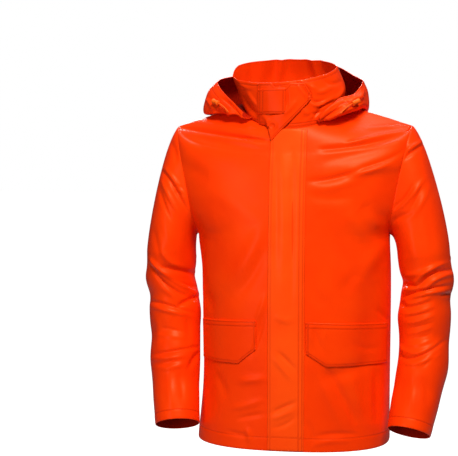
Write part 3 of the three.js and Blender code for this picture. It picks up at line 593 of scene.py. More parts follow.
def knit_backing(name, light, dark):
    """The knit inner face: fine ribs along the cloth, crossed by shorter ones, in a duller red than the coated face."""
    finish = bpy.data.materials.new(name)
    finish.use_nodes = True
    nodes, links = finish.node_tree.nodes, finish.node_tree.links
    shader = nodes["Principled BSDF"]
    place = nodes.new("ShaderNodeUVMap")
    place.uv_map = "cloth"
    ribs = nodes.new("ShaderNodeTexWave")
    ribs.inputs["Scale"].default_value = 190
    ribs.inputs["Distortion"].default_value = 1.2
    ribs.inputs["Detail"].default_value = 2
    links.new(place.outputs["UV"], ribs.inputs["Vector"])
    tone = nodes.new("ShaderNodeValToRGB")
    tone.color_ramp.elements[0].color = (*dark, 1)
    tone.color_ramp.elements[1].color = (*light, 1)
    links.new(ribs.outputs["Fac"], tone.inputs["Fac"])
    links.new(tone.outputs["Color"], shader.inputs["Base Color"])
    relief = nodes.new("ShaderNodeBump")
    relief.inputs["Strength"].default_value = 0.4
    relief.inputs["Distance"].default_value = 0.0004
    links.new(ribs.outputs["Fac"], relief.inputs["Height"])
    links.new(relief.outputs["Normal"], shader.inputs["Normal"])
    shader.inputs["Roughness"].default_value = 0.72
    shader.inputs["Specular IOR Level"].default_value = 0.25
    shader.inputs["Specular Tint"].default_value = (1, 0.2, 0.04, 1)
    return finish


SHELL = coated_cloth("coated_cloth", (0.95, 0.043, 0.0005), (0.88, 0.032, 0.0004), 0.44, 0.2)
INSIDE = knit_backing("knit_inside", (0.5, 0.012, 0.002), (0.34, 0.007, 0.001))
# Painted light: the storm flap's copy of the same coated cloth is made lighter and yellower, as if more lit.
FLAP_SHELL_PAINTED_LIGHT = coated_cloth("coated_cloth_flap_painted_light", (0.98, 0.07, 0.003), (0.94, 0.052, 0.002), 0.44, 0.2)
# Painted shade: a darker copy of the same coated cloth on both faces of the collar, chin guard and throat tab, for the
# shade inside the collar.
NECK_SHELL_PAINTED_SHADE = coated_cloth("coated_cloth_neck_painted_shade", (0.92, 0.04, 0.0004), (0.8, 0.028, 0.0003), 0.43, 0.2)
CLOTH_FINISH = (SHELL, INSIDE)
FLAP_FINISH_PAINTED_LIGHT = (FLAP_SHELL_PAINTED_LIGHT, INSIDE)
NECK_FINISH_PAINTED_SHADE = (NECK_SHELL_PAINTED_SHADE, NECK_SHELL_PAINTED_SHADE)

# Sewing thread is a shade lighter than the cloth, and each stitch is a short thread pulled a little into it.
# The stitches carry no stitch distance, so this finish paints them all over in its darker groove colour, the painted
# shade of the groove.
THREAD = coated_cloth("thread", (1.0, 0.13, 0.01), (0.9, 0.08, 0.004), 0.6, 0.1)
STITCH_PITCH = 3.3
STITCH_LONG = 2.5
STITCH_RADIUS = 0.33
STITCH_SIDES = 5
STITCH_SHAPE = ((-1, 0.25), (-0.6, 0.95), (0.6, 0.95), (1, 0.25))


def sew(name, paths):
    """A row of stitches along each path, as one mesh: each stitch is a short rounded rod that lies along the path and
    half in the cloth. A path is points with the cloth's outward directions."""
    centres, alongs, ups = [], [], []
    for points, normals in paths:
        gone = lengths(points[None], 1)[0]
        count = int(gone[-1] / STITCH_PITCH)
        if count < 1:
            continue
        at = (np.arange(count) + 0.5) * gone[-1] / count
        sample = lambda values, where: np.stack([np.interp(where, gone, values[:, c]) for c in range(3)], 1)
        centres.append(sample(points, at))
        alongs.append(unit(sample(points, at + 0.8) - sample(points, at - 0.8)))
        ups.append(unit(sample(normals, at)))
    centre, along, up = (np.concatenate(part) for part in (centres, alongs, ups))
    wide = unit(np.cross(along, up))
    up = np.cross(wide, along)
    shape = np.array(STITCH_SHAPE)
    turn = 2 * np.pi * np.arange(STITCH_SIDES) / STITCH_SIDES
    run = shape[:, 0] * STITCH_LONG / 2
    thick = shape[:, 1] * STITCH_RADIUS
    sideways = thick[:, None] * np.cos(turn)
    upwards = thick[:, None] * np.sin(turn)
    sink = -0.25 * STITCH_RADIUS * (1 + shape[:, 0] ** 2)
    points = (
        centre[:, None, None]
        + along[:, None, None] * run[None, :, None, None]
        + wide[:, None, None] * sideways[None, :, :, None]
        + up[:, None, None] * (upwards + sink[:, None])[None, :, :, None]
    )
    rings = len(shape)
    number = np.arange(rings * STITCH_SIDES).reshape(rings, STITCH_SIDES)
    around = np.concatenate([number, number[:, :1]], 1)
    a, b = around[:-1, :-1].ravel(), around[:-1, 1:].ravel()
    c, d = around[1:, 1:].ravel(), around[1:, :-1].ravel()
    one = np.stack([a, d, c, b], 1)
    each = np.arange(len(centre))[:, None, None] * rings * STITCH_SIDES
    sides = (one[None] + each).reshape(-1, 4)
    caps = np.stack([number[0], number[-1][::-1]])
    caps = (caps[None] + each).reshape(-1, STITCH_SIDES)
    piece = put_mesh(name, points.reshape(-1, 3), list(sides) + list(caps))
    piece.data.materials.append(THREAD)
    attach(piece, "root")
    return piece


def path_with_normals(points, normals, edge, offset, start=0, end=1, lift=CLOTH / 2):
    """A sewn line at a distance from a grid's edge: its places on the outer face and the directions out of it."""
    line = edge_path(points, edge, offset, start, end)
    far = from_edge(points, edge)
    weights = np.exp(-(((far - offset) / 2.5) ** 2))
    picked = np.swapaxes(normals * weights[..., None], 0, 1) if edge in ("bottom", "top") else normals * weights[..., None]
    out = unit(picked.sum(1))
    first, last = round(start * (len(out) - 1)), round(end * (len(out) - 1))
    out = out[first : last + 1]
    return line + out * lift, out


def sewn_gap(points, lines):
    """Each point's distance to the nearest of the sewn lines, which are pairs of an edge and an offset."""
    return np.min(np.stack([np.abs(from_edge(points, edge) - offset) for edge, offset in lines]), 0)


def levels_between(first, last, count):
    """Levels from one row to another, evenly far apart along the cloth."""
    fine = np.linspace(first, last, 200)
    gone = lengths(body_base(FRONT, 0.5, fine, 1)[None], 1)[0]
    return np.interp(np.linspace(0, gone[-1], count), gone, fine)


HEM_LEVELS = np.array([0, 0.006, 0.015, 0.03])
BODY_LEVELS = np.concatenate(
    [
        HEM_LEVELS,
        levels_between(0.05, UNDERARM, 138)[:-1],
        levels_between(UNDERARM, TIP, 66)[:-1],
        levels_between(TIP, NECK, 40),
    ]
)
PANEL_COLUMNS = 98
HEM_LINES = (("bottom", HEM_TURN),)


def hem_band(points):
    """The turned-in hem makes the cloth a little thicker below its sewn line."""
    normals = grid_normals(points)
    return points + normals * (0.5 * (1 - ease(HEM_TURN - 3, HEM_TURN + 1, from_edge(points, "bottom"))))[..., None]


hem_paths = []
for name, side in (("front_left", 1), ("front_right", -1)):
    shares = spaced(PANEL_COLUMNS)
    across = shares if side > 0 else 1 - shares
    points = hem_band(body_surface(FRONT, across[None], BODY_LEVELS[:, None], side))
    front = cloth_wall(name + "_cloth", points, stitched=sewn_gap(points, HEM_LINES), materials=CLOTH_FINISH)
    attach(front, "root")
    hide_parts(name)
    hem_paths.append(path_with_normals(points, grid_normals(points), "bottom", HEM_TURN))

shares = spaced(2 * PANEL_COLUMNS - 30)
place = 1 - 2 * shares
points = body_surface(BACK, np.abs(place)[None], BODY_LEVELS[:, None], np.where(place < 0, -1, 1)[None])
points = hem_band(points)
back = cloth_wall("back_cloth", points, stitched=sewn_gap(points, HEM_LINES), materials=CLOTH_FINISH)
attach(back, "root")
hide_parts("back")
hem_paths.append(path_with_normals(points, grid_normals(points), "bottom", HEM_TURN))
sew("hem_stitches", hem_paths)

# The sleeves: one piece of coated cloth each, set into the armhole, with the arm hanging a little bent and forwards.
# The cuff is turned in and stitched, and the elbow's slack lies in folds.
SLEEVE_ROWS = {
    "left": table(
        "x y z out fore",
        (275, 0, -285, 54, 76),
        (281, 2, -350, 53, 72),
        (279, -4, -430, 53, 66),
        (277, -25, -505, 51, 60),
        (264, -56, -582, 49, 54),
        (252, -84, -648, 44, 49),
    ),
    "right": table(
        "x y z out fore",
        (267, 0, -285, 51, 76),
        (266, 2, -350, 52, 72),
        (259, -4, -430, 53, 66),
        (253, -25, -505, 52, 60),
        (245, -56, -582, 49, 54),
        (236, -84, -648, 46, 49),
    ),
}
CAP_TOP = {"out": 84, "down": 66}
CAP_FOOT = {"out": 46, "down": 2}
CAP_END_PULL = 190
CAP_END_LEAN = 0.06
CAP_SHARE = 9 / 23
# Wide folds across a sleeve: place from the armhole to the cuff, degrees from outwards to the front, half width in
# place, spread in degrees, and how far out.
SLEEVE_FOLDS = (
    (0.5, 0, 0.035, 75, 4),
    (0.56, 20, 0.03, 70, -4),
    (0.5, 180, 0.035, 80, -5),
    (0.62, 150, 0.035, 70, 4),
    (0.7, 60, 0.035, 70, -4),
    (0.78, -40, 0.035, 80, 3),
    (0.86, 110, 0.03, 70, -3),
)
# Creases of the sleeves as they show in the photograph's pixels.
SLEEVE_CREASES = {
    "right": (
        (162, 168, 172, 182, 186, 207, 1.8, -2.6),
        (165, 166, 176, 180, 187, 200, 2.2, 2.2),
        (161, 176, 168, 192, 178, 212, 2.2, 2.0),
        (160, 186, 164, 202, 172, 218, 2, -1.8),
        (174, 183.5, 179, 184.5, 184, 187, 1.2, -1.4),
        (175, 190, 180, 190.6, 185, 193, 1.2, -1.4),
        (171, 138, 175, 150, 176, 160, 3, -1.5),
        (161, 248, 168, 258, 179, 264, 3, 2.6),
        (160, 265, 174, 268, 196, 272, 3.2, -3.6),
        (150, 256, 163, 270, 196, 292, 2.3, 4.4),
        (150, 262, 166, 283, 192, 296, 1.7, -3.4),
        (158, 264, 176, 279, 197, 285, 1.6, -2.8),
        (177, 305, 188, 299, 201, 294, 2.6, -4.5),
        (149, 299, 168, 304, 195, 312, 1.7, -2.8),
        (149, 304, 166, 309, 184, 313, 2.2, 1.9),
        (160, 285, 170, 292, 178, 300, 2.8, 1.5),
        (162, 327, 173, 328.5, 184, 331, 1.7, -1.3),
        (156, 334, 170, 335, 186, 337, 2.4, 1.1),
        (153, 353.6, 175, 350, 201, 345, 1.7, -2.8),
        (152, 358.5, 168, 357, 188, 355, 2.1, 2.4),
        (152, 364, 164, 363, 178, 360, 2.2, -1.1),
        (188, 369, 194, 358, 201, 350, 2.8, -3.2),
        (160, 368, 172, 366.5, 184, 363, 2.6, 1.6),
        (178, 372, 181, 386, 182, 402, 4, -1.8),
        (169, 372, 170, 390, 171, 410, 5, 1.6),
        (156, 316, 158, 330, 157, 346, 3, 1.1),
        (186, 312, 188, 326, 187, 342, 4, -1.6),
        (163, 218, 168, 232, 170, 246, 5, 1.5),
        (154, 226, 156, 240, 160, 254, 3, -1.4),
    ),
    "left": (
        (396, 152, 408, 146.5, 421, 138.5, 2.2, 3.0),
        (399, 158, 409, 151, 421, 142.5, 2, -2.6),
        (392, 206, 404, 196, 412, 182, 1.9, -2.2),
        (396, 207, 410, 194, 423, 176, 2.4, 2.2),
        (410, 206, 416, 196, 421, 182, 2.2, -1.5),
        (412, 214, 421, 200, 428, 184, 3, 1.4),
        (392, 220, 400, 214, 412, 210, 3, -2.0),
        (425, 160, 432, 176, 438, 192, 4, -1.2),
        (404, 272, 420, 270, 436, 262, 3, 1.8),
        (418, 287, 430, 273, 452, 266.5, 1.8, -3.4),
        (414, 283, 427, 268, 446, 260, 2.4, 3.2),
        (424, 288, 436, 276, 454, 271, 2.4, 3.2),
        (397, 280, 407, 281, 418, 285, 2.6, -4.2),
        (399, 296, 418, 289, 450, 282, 1.7, -3.8),
        (398, 289, 410, 286, 424, 284, 2, 2.4),
        (412, 295, 428, 290, 448, 287, 2.2, 2.8),
        (441, 292, 448, 291, 455, 290.5, 1.6, -2.8),
        (398, 297, 402, 301, 408, 304, 2.8, -3.2),
        (404, 301, 418, 299, 433, 292.5, 1.5, 1.7),
        (404, 305.5, 418, 303, 434, 297.5, 1.3, -1.5),
        (404, 311, 418, 309, 434, 303, 1.5, 1.7),
        (405, 315, 419, 312.6, 434, 307.6, 1.3, -1.5),
        (407, 320.5, 420, 318, 434, 312.5, 1.5, 1.6),
        (408, 326, 420, 323.5, 433, 319.5, 1.3, -1.3),
        (408, 331.5, 420, 329, 433, 324, 1.5, 1.5),
        (409, 337, 420, 334.8, 432, 331, 1.3, -1.2),
        (409, 343, 420, 341.5, 432, 337, 1.5, 1.3),
        (398, 350.5, 416, 355.5, 446, 337, 1.8, -3.0),
        (404, 346, 418, 350.5, 438, 340, 2, 2.0),
        (406, 360.5, 420, 360.5, 440, 351, 2.2, 2.2),
        (398, 341, 402, 345, 405, 350, 2, 2.2),
        (424, 364, 430, 358, 440, 349, 1.8, -1.4),
        (413, 368, 414, 386, 412, 412, 4.5, 1.6),
        (424, 372, 428, 388, 427, 404, 5, -1.4),
        (405, 376, 402, 390, 401, 404, 4, -1.2),
        (410, 226, 412, 242, 416, 258, 6, 1.5),
        (426, 214, 431, 232, 436, 252, 5, -1.2),
    ),
}
# Creases on the hidden half of both sleeves, laid out flat: millimetres across from the shoulder line towards the
# back, and down from the armhole.
HIDDEN_CREASES = (
    (30, 40, 60, 70, 70, 120, 8, -2.5),
    (50, 60, 90, 100, 110, 170, 7, 2.2),
    (150, 60, 120, 90, 110, 140, 8, 2.4),
    (170, 100, 140, 140, 120, 170, 7, -2.4),
    (20, 250, 80, 262, 160, 246, 6, -3.5),
    (10, 270, 80, 286, 170, 272, 6, 3.4),
    (30, 296, 90, 306, 160, 300, 5, -3.2),
    (40, 316, 100, 322, 180, 312, 5, 2.6),
    (10, 340, 60, 350, 120, 342, 5, -2),
    (80, 362, 130, 370, 190, 360, 6, 2),
    (20, 400, 70, 408, 130, 402, 5, -1.8),
    (60, 424, 110, 434, 180, 428, 6, -2.4),
    (30, 446, 80, 452, 140, 446, 6, 1.8),
    (90, 480, 96, 520, 92, 560, 9, -1.8),
    (50, 500, 54, 540, 52, 580, 9, 1.5),
)
SLEEVE_GIRTH = 400
SLEEVE_LONG = 640
CUFF_TURN = 19
SLEEVE_CREASE_DEPTH = 1.5
SLEEVE_COLUMNS = 128
SLEEVE_TURNS = np.arange(SLEEVE_COLUMNS) / SLEEVE_COLUMNS
SLEEVE_PLACES = spaced(216, (0.0015, 0.004, 0.008))


def armhole(turns, side):
    """The armhole's edge, from the shoulder tip down the front to the underarm and up the back."""
    down = np.minimum(2 * turns, 2 - 2 * turns)
    level = mix(TIP, UNDERARM, down)
    front = body_base(FRONT, np.ones_like(level), level, side)
    rear = body_base(BACK, np.ones_like(level), level, side)
    return np.where((turns <= 0.5)[..., None], front, rear)


def sleeve_ring(rows, place, turns, side, extra):
    """The sleeve's tube: an oval round the arm's curve, square to it."""

    def centre(at):
        return np.stack([side * smooth(rows["x"], at), smooth(rows["y"], at), smooth(rows["z"], at)], -1)

    axis = unit(centre(place + 0.01) - centre(place - 0.01))
    forwards = np.array([0.0, -1.0, 0.0]) - axis * -axis[..., 1:2]
    forwards = unit(forwards)
    outwards = np.cross(forwards, axis) * side
    outwards = np.where(outwards[..., :1] * side < 0, -outwards, outwards)
    angle = 2 * np.pi * turns
    out = (smooth(rows["out"], place) + extra) * np.cos(angle)
    fore = (smooth(rows["fore"], place) + extra) * np.sin(angle)
    return centre(place) + outwards * out[..., None] + forwards * fore[..., None]


def sleeve_surface(rows, turns, places, side):
    """Sleeve cloth: above the first ring each line leaves the armhole outwards and bends down into the tube, as the
    cubic with those end slopes; below it the tube follows its rings."""
    turns, places = np.broadcast_arrays(turns, places)
    facing = np.degrees(2 * np.pi * turns)
    extra = np.zeros(turns.shape)
    for at, faces, half, spread, out in SLEEVE_FOLDS:
        apart = np.abs((facing - faces + 540) % 360 - 180)
        extra = extra + out * np.exp(-(((places - at) / half) ** 2) - (apart / spread) ** 2)
    last = len(rows["x"]) - 1
    tube = sleeve_ring(rows, np.clip((places - CAP_SHARE) / (1 - CAP_SHARE), 0, 1) * last, turns, side, extra)
    t = np.clip(places / CAP_SHARE, 0, 1)[..., None]
    top = ((1 + np.cos(2 * np.pi * turns)) / 2)[..., None]
    start = armhole(turns, side)
    end = sleeve_ring(rows, np.zeros(turns.shape), turns, side, extra)
    leave = np.concatenate(
        [
            side * mix(CAP_FOOT["out"], CAP_TOP["out"], top),
            np.zeros_like(top),
            -mix(CAP_FOOT["down"], CAP_TOP["down"], top),
        ],
        -1,
    )
    arrive = np.array([side * CAP_END_LEAN, 0, -1]) * mix(CAP_FOOT["down"], CAP_END_PULL, top)
    cap = start * (1 - 3 * t**2 + 2 * t**3) + end * (3 * t**2 - 2 * t**3)
    cap = cap + leave * (t - 2 * t**2 + t**3) + arrive * (t**3 - t**2)
    return np.where((places < CAP_SHARE)[..., None], cap, tube)


cuff_paths = []
for name, side in (("left", 1), ("right", -1)):
    turns = SLEEVE_TURNS if side > 0 else SLEEVE_TURNS[::-1]
    base = sleeve_surface(SLEEVE_ROWS[name], turns[None], SLEEVE_PLACES[:, None], side)
    normal = grid_normals(base, True)
    facing = ease(0, 0.35, (normal * TO_CAMERA).sum(-1))
    push = SLEEVE_CREASE_DEPTH * crease_push(SLEEVE_CREASES[name], *seen_at(base)) * facing
    behind = ((1 - turns)[None] * SLEEVE_GIRTH) * np.ones_like(push)
    down = SLEEVE_PLACES[:, None] * SLEEVE_LONG * np.ones_like(push)
    push = push + SLEEVE_CREASE_DEPTH * crease_push(HIDDEN_CREASES, behind, down) * (1 - facing)
    push = push * ease(0, 0.03, SLEEVE_PLACES)[:, None] * ease(0, 0.06, 1 - SLEEVE_PLACES)[:, None]
    points = base + normal * push[..., None]
    cuff_far = from_edge(points, "top")
    points = points + normal * (0.5 * (1 - ease(CUFF_TURN - 3, CUFF_TURN + 1, cuff_far)))[..., None]
    gap = np.abs(cuff_far - CUFF_TURN)
    sleeve = cloth_wall("sleeve_" + name + "_cloth", points, True, gap, materials=CLOTH_FINISH)
    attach(sleeve, "root")
    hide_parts("sleeve_" + name)
    line, out = path_with_normals(points, grid_normals(points, True), "top", CUFF_TURN)
    cuff_paths.append((np.concatenate([line, line[:1]]), np.concatenate([out, out[:1]])))
sew("cuff_stitches", cuff_paths)

# The stand collar: a strip of the coated cloth, sewn to the neck and tipped up at the back, with a stitched rim.
COLLAR_RINGS = table(
    "x y across deep z back_up left_up",
    (-3, -11, 112, 87, 53, 29, 3),
    (-18, -19, 110, 81, 98, 28, 6),
)
RIM_BOXY = 0.7
TILT_FADE = 3
HOOD_MIDDLE_Y = -8
COLLAR_COLUMNS = 240
COLLAR_LEVELS = spaced(44, (0.008, 0.02, 0.045))
COLLAR_CREASES = (
    (238, 78, 244, 84, 252, 86, 2.0, 1.5),
    (243, 92, 249, 104, 258, 112, 2.2, -2.4),
    (238, 90, 246, 106, 256, 118, 2.2, 2.2),
    (247, 88, 253, 98, 258, 104, 2.0, 1.6),
    (309, 88, 313, 99, 323, 98, 1.7, -3.0),
    (310, 96, 318, 103, 334, 94, 2.0, 2.6),
    (312, 82, 318, 90, 332, 84, 2.6, 2.0),
    (322, 74, 330, 82, 342, 78, 2.2, -1.6),
    (318, 108, 324, 103, 338, 97, 2.0, -2.2),
    (330, 100, 338, 94, 344, 84, 2.4, 2.2),
    (300, 104, 308, 112, 318, 117, 2.6, 1.4),
    (303, 116, 312, 112, 322, 110, 2.0, -1.2),
    (296, 80, 303, 86, 311, 93, 1.5, -2.2),
    (300, 78, 308, 83, 318, 88, 1.8, 1.8),
    (236, 80, 240, 96, 250, 114, 2.0, -1.8),
    (312, 118, 316, 112, 322, 108, 1.6, -2.0),
)
COLLAR_CREASE_DEPTH = 1.5
# Folds of the collar's inner side behind the neck: turn in degrees from the front, half width, depth out.
COLLAR_BACK_FOLDS = (
    (136, 5, 2.2),
    (152, 5, -3),
    (166, 5, 2),
    (196, 7, 2.6),
    (208, 4.5, -4.2),
    (217, 5, 3),
    (232, 6, -2.4),
    (246, 5, 1.8),
)
COLLAR_HEM = 6


def neck_seam(share):
    """The neck seam from the centre front round the wearer's left, the back and the right to the front again."""
    share = np.asarray(share, float)
    front_left = body_base(FRONT, np.clip(4 * share, 0, 1), NECK, 1)
    place = 2 - 4 * share
    rear = body_base(BACK, np.clip(np.abs(place), 0, 1), NECK, np.where(place < 0, -1, 1))
    front_right = body_base(FRONT, np.clip(4 - 4 * share, 0, 1), NECK, -1)
    part = share[..., None]
    return np.where(part < 0.25, front_left, np.where(part <= 0.75, rear, front_right))


def collar_from(base, height):
    """A collar point above its place on the neck seam: a curve through the seam, the middle ring and the rim ring,
    each an oval tipped up at the back, boxier there, with a tilt to the left that fades out behind."""
    turn = np.arctan2(base[..., 0], HOOD_MIDDLE_Y - base[..., 1])
    forwards = np.cos(turn)
    slope = np.where(forwards < 0, -(np.abs(forwards) ** RIM_BOXY), forwards)
    tilt = np.sin(turn) * np.clip(1 + TILT_FADE * forwards, 0, 1)
    stack = [base]
    for k in (0, 1):
        ring = {name: column[k] for name, column in COLLAR_RINGS.items()}
        x = ring["x"] + ring["across"] * np.sin(turn)
        y = ring["y"] - ring["deep"] * np.cos(turn)
        z = ring["z"] - ring["back_up"] * slope + ring["left_up"] * tilt
        stack.append(np.stack([x, y, z], -1))
    shape = np.broadcast_shapes(base.shape[:-1], np.shape(height))
    height = np.broadcast_to(height, shape)
    steps = np.stack([np.broadcast_to(s, (*shape, 3)) for s in stack])
    return np.stack([smooth(steps[..., c], 2 * height) for c in range(3)], -1)


def collar_push(points, height):
    """How far the collar's creases push it out, none at the seam."""
    turn = np.degrees(np.arctan2(points[..., 0], HOOD_MIDDLE_Y - points[..., 1])) % 360
    push = COLLAR_CREASE_DEPTH * crease_push(COLLAR_CREASES, *seen_at(points)) * ease(0, 30, -points[..., 1])
    for at, half, out in COLLAR_BACK_FOLDS:
        push = push + out * np.exp(-(((turn - at) / half) ** 2)) * ease(0.2, 0.75, height)
    return push * ease(0, 0.12, height)


shares = spaced(COLLAR_COLUMNS, (0.0015, 0.004, 0.008))
points = collar_from(neck_seam(shares)[None], COLLAR_LEVELS[:, None])
heights = COLLAR_LEVELS[:, None] * np.ones(points.shape[:2])
points = points + grid_normals(points) * collar_push(points, heights)[..., None]
gap = sewn_gap(points, (("top", COLLAR_HEM), ("bottom", 3), ("bottom", 9)))
collar = cloth_wall("collar_cloth", points, stitched=gap, materials=NECK_FINISH_PAINTED_SHADE)
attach(collar, "root")
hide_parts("collar")
normals = grid_normals(points)
sew("collar_stitches", [path_with_normals(points, normals, *line) for line in (("top", COLLAR_HEM), ("bottom", 3), ("bottom", 9))])

# The hood, laid back on the shoulders: a middle panel and two sides of coated cloth, joined by double-stitched seams,
# with its lower edge sewn on just above the neck seam and its face edge hemmed as a channel for the draw cord.
HOOD_ROWS = table(
    "turn out1 up1 out2 up2 out3 up3 out4 up4",
    (38, 104, -9, 108, -5, 109, 1, 107, 7),
    (50, 112, -6, 122, 2, 122, 13, 114, 22),
    (60, 120, 2, 136, 8, 137, 24, 120, 38),
    (68, 125, 8, 146, 14, 148, 36, 141, 46),
    (78, 129, 12, 151, 20, 154, 46, 146, 61),
    (90, 135, 20, 155, 22, 155, 50, 147, 75),
    (120, 150, 4, 165, 4, 163, 62, 140, 90),
    (150, 148, -50, 178, -52, 186, 74, 136, 116),
    (180, 132, -84, 166, -82, 184, 72, 112, 122),
    (210, 148, -50, 180, -52, 188, 72, 138, 114),
    (240, 156, 4, 188, 2, 186, 66, 150, 94),
    (270, 148, 18, 192, 9, 186, 50, 164, 76),
    (295, 116, 8, 136, 8, 138, 20, 132, 31),
    (305, 104, -3, 118, -2, 121, 4, 117, 9),
)
HOOD_SEAM_TURN = {"left": 160, "right": 200}
HOOD_SEAM_HEIGHT = 0.09
LAYER_STEP = 2.2
HOOD_CHANNEL = 16
HOOD_SEAM_LINES = (4, 10)
HOOD_PLACES = spaced(120, (0.003, 0.008, 0.018))
# Creases of the hood as they show in the photograph's pixels, on its near sides.
HOOD_FRONT_CREASES = (
    (206, 96, 212, 104, 216, 114, 2.0, 2.2),
    (212, 108, 224, 112, 236, 121, 2.0, -3.0),
    (208, 112, 220, 117, 234, 122, 2.2, 2.2),
    (216, 100, 228, 110, 244, 118, 1.8, 2.6),
    (222, 96, 232, 104, 242, 116, 1.8, -2.6),
    (228, 92, 238, 100, 246, 112, 2.0, 2.2),
    (230, 84, 236, 92, 240, 100, 2.0, -2.0),
    (321, 120, 330, 112, 343, 104, 1.9, -2.8),
    (326, 118, 340, 110, 356, 104, 2.0, 2.4),
    (334, 120, 348, 114, 364, 103, 1.9, -3.2),
    (322, 112, 332, 104, 344, 98, 1.9, 2.6),
    (344, 120, 356, 114, 366, 108, 2.2, 1.8),
    (350, 92, 358, 96, 364, 88, 2.2, 2.4),
    (340, 94, 350, 102, 362, 99, 1.8, -1.8),
    (362, 80, 364, 92, 366, 102, 2.2, -1.6),
)
HOOD_CREASE_DEPTH = 1.7
# Crumples of the laid-back bag: turn in degrees and place from the seam to the face edge, each times 100 for place.
HOOD_BACK_CREASES = (
    (146, 58, 160, 52, 178, 60, 4.5, 3.6),
    (150, 66, 166, 62, 186, 70, 4, -3.6),
    (158, 74, 176, 70, 196, 78, 4, 3.2),
    (184, 50, 200, 46, 216, 54, 4, 3.4),
    (190, 60, 206, 64, 224, 58, 4, -3.6),
    (196, 70, 212, 76, 232, 70, 4, 3.2),
    (132, 46, 144, 44, 160, 40, 4, -2.8),
    (128, 54, 140, 60, 150, 72, 4, 3.0),
    (204, 82, 218, 84, 236, 80, 3.5, -2.6),
    (140, 80, 156, 84, 172, 84, 3.5, -2.4),
    (168, 44, 180, 40, 196, 38, 4, 2.6),
    (220, 44, 232, 50, 246, 48, 4, -2.8),
    (226, 54, 240, 62, 252, 66, 4, 2.8),
    (110, 52, 120, 58, 132, 62, 4, -2.4),
    (244, 72, 256, 66, 268, 68, 4, -2.4),
    (164, 88, 180, 90, 198, 88, 3, 1.8),
    (116, 70, 128, 76, 140, 76, 4, 2.4),
    (170, 30, 182, 26, 198, 28, 4, -2.4),
    (138, 28, 150, 24, 164, 28, 4, 2.4),
    (206, 28, 220, 24, 232, 30, 4, 2.2),
)
seam_shares = np.linspace(0.001, 0.999, 600)
seam_points = neck_seam(seam_shares)
seam_turns = np.degrees(np.arctan2(seam_points[:, 0], HOOD_MIDDLE_Y - seam_points[:, 1])) % 360


def hood_base(turn, place):
    """A hood point at a turn in degrees from the front, place 0 at the neck seam and 1 at the face edge: a curve
    through the seam and the four section points, which change smoothly from one row to the next."""
    turn, place = np.broadcast_arrays(np.asarray(turn, float), np.asarray(place, float))
    row = np.interp(turn, HOOD_ROWS["turn"], np.arange(len(HOOD_ROWS["turn"])))
    way = np.stack([np.sin(np.radians(turn)), -np.cos(np.radians(turn)), np.zeros_like(turn)], -1)
    foot = np.stack([np.interp(turn, seam_turns, seam_points[:, c]) for c in range(3)], -1)
    seam = collar_from(foot, HOOD_SEAM_HEIGHT * np.ones_like(turn)) + way * LAYER_STEP
    seam_out = seam[..., 0] * way[..., 0] + (seam[..., 1] - HOOD_MIDDLE_Y) * way[..., 1]
    outs = np.stack([seam_out] + [smooth(HOOD_ROWS["out%d" % k], row) for k in (1, 2, 3, 4)])
    ups = np.stack([seam[..., 2]] + [smooth(HOOD_ROWS["up%d" % k], row) for k in (1, 2, 3, 4)])
    out, up = smooth(outs, 4 * place), smooth(ups, 4 * place)
    return np.stack([out * way[..., 0], HOOD_MIDDLE_Y + out * way[..., 1], up], -1)


def hood_surface(turn, place, lift=0):
    """Hood cloth with its creases, lifted off along its outward direction."""
    turn, place = np.broadcast_arrays(np.asarray(turn, float), np.asarray(place, float))
    near = 0.4
    base = hood_base(turn, place)
    wide = hood_base(turn + near, place) - hood_base(turn - near, place)
    high = hood_base(turn, np.minimum(place + 0.005, 1)) - hood_base(turn, np.maximum(place - 0.005, 0))
    normal = unit(np.cross(wide, high))
    toward = ease(-0.1, 0.4, (normal * TO_CAMERA).sum(-1)) * ease(0, 40, 60 - base[..., 1])
    push = HOOD_CREASE_DEPTH * crease_push(HOOD_FRONT_CREASES, *seen_at(base)) * toward
    push = push + crease_push(HOOD_BACK_CREASES, turn, 100 * place)
    seam_near = np.minimum(np.abs(turn - HOOD_SEAM_TURN["left"]), np.abs(turn - HOOD_SEAM_TURN["right"]))
    push = push * (0.45 + 0.55 * ease(1, 6, seam_near)) * ease(0, 0.08, place) * ease(0, 0.05, 1 - place + 0.02)
    return base + normal * (push + lift)[..., None], normal


hood_paths = []
hood_turns = {
    "hood_side_left": (HOOD_ROWS["turn"][0], HOOD_SEAM_TURN["left"], 120),
    "hood_middle": (HOOD_SEAM_TURN["left"], HOOD_SEAM_TURN["right"], 46),
    "hood_side_right": (HOOD_SEAM_TURN["right"], HOOD_ROWS["turn"][-1], 108),
}
for name, (first, last, count) in hood_turns.items():
    turns = mix(first, last, spaced(count, (0.004, 0.01, 0.02) if count > 60 else (0.01, 0.025, 0.05)))
    points, normals = hood_surface(turns[None], HOOD_PLACES[:, None])
    lines = [("top", HOOD_CHANNEL), ("top", 3)]
    seams = {"hood_side_left": ("right",), "hood_middle": ("left", "right"), "hood_side_right": ("left",)}[name]
    lines += [(edge, HOOD_SEAM_LINES[0]) for edge in seams]
    hood = cloth_wall(name + "_cloth", points, stitched=sewn_gap(points, lines), materials=CLOTH_FINISH)
    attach(hood, "root")
    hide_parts(name)
    hood_paths += [path_with_normals(points, grid_normals(points), *line) for line in lines]
sew("hood_stitches", hood_paths)

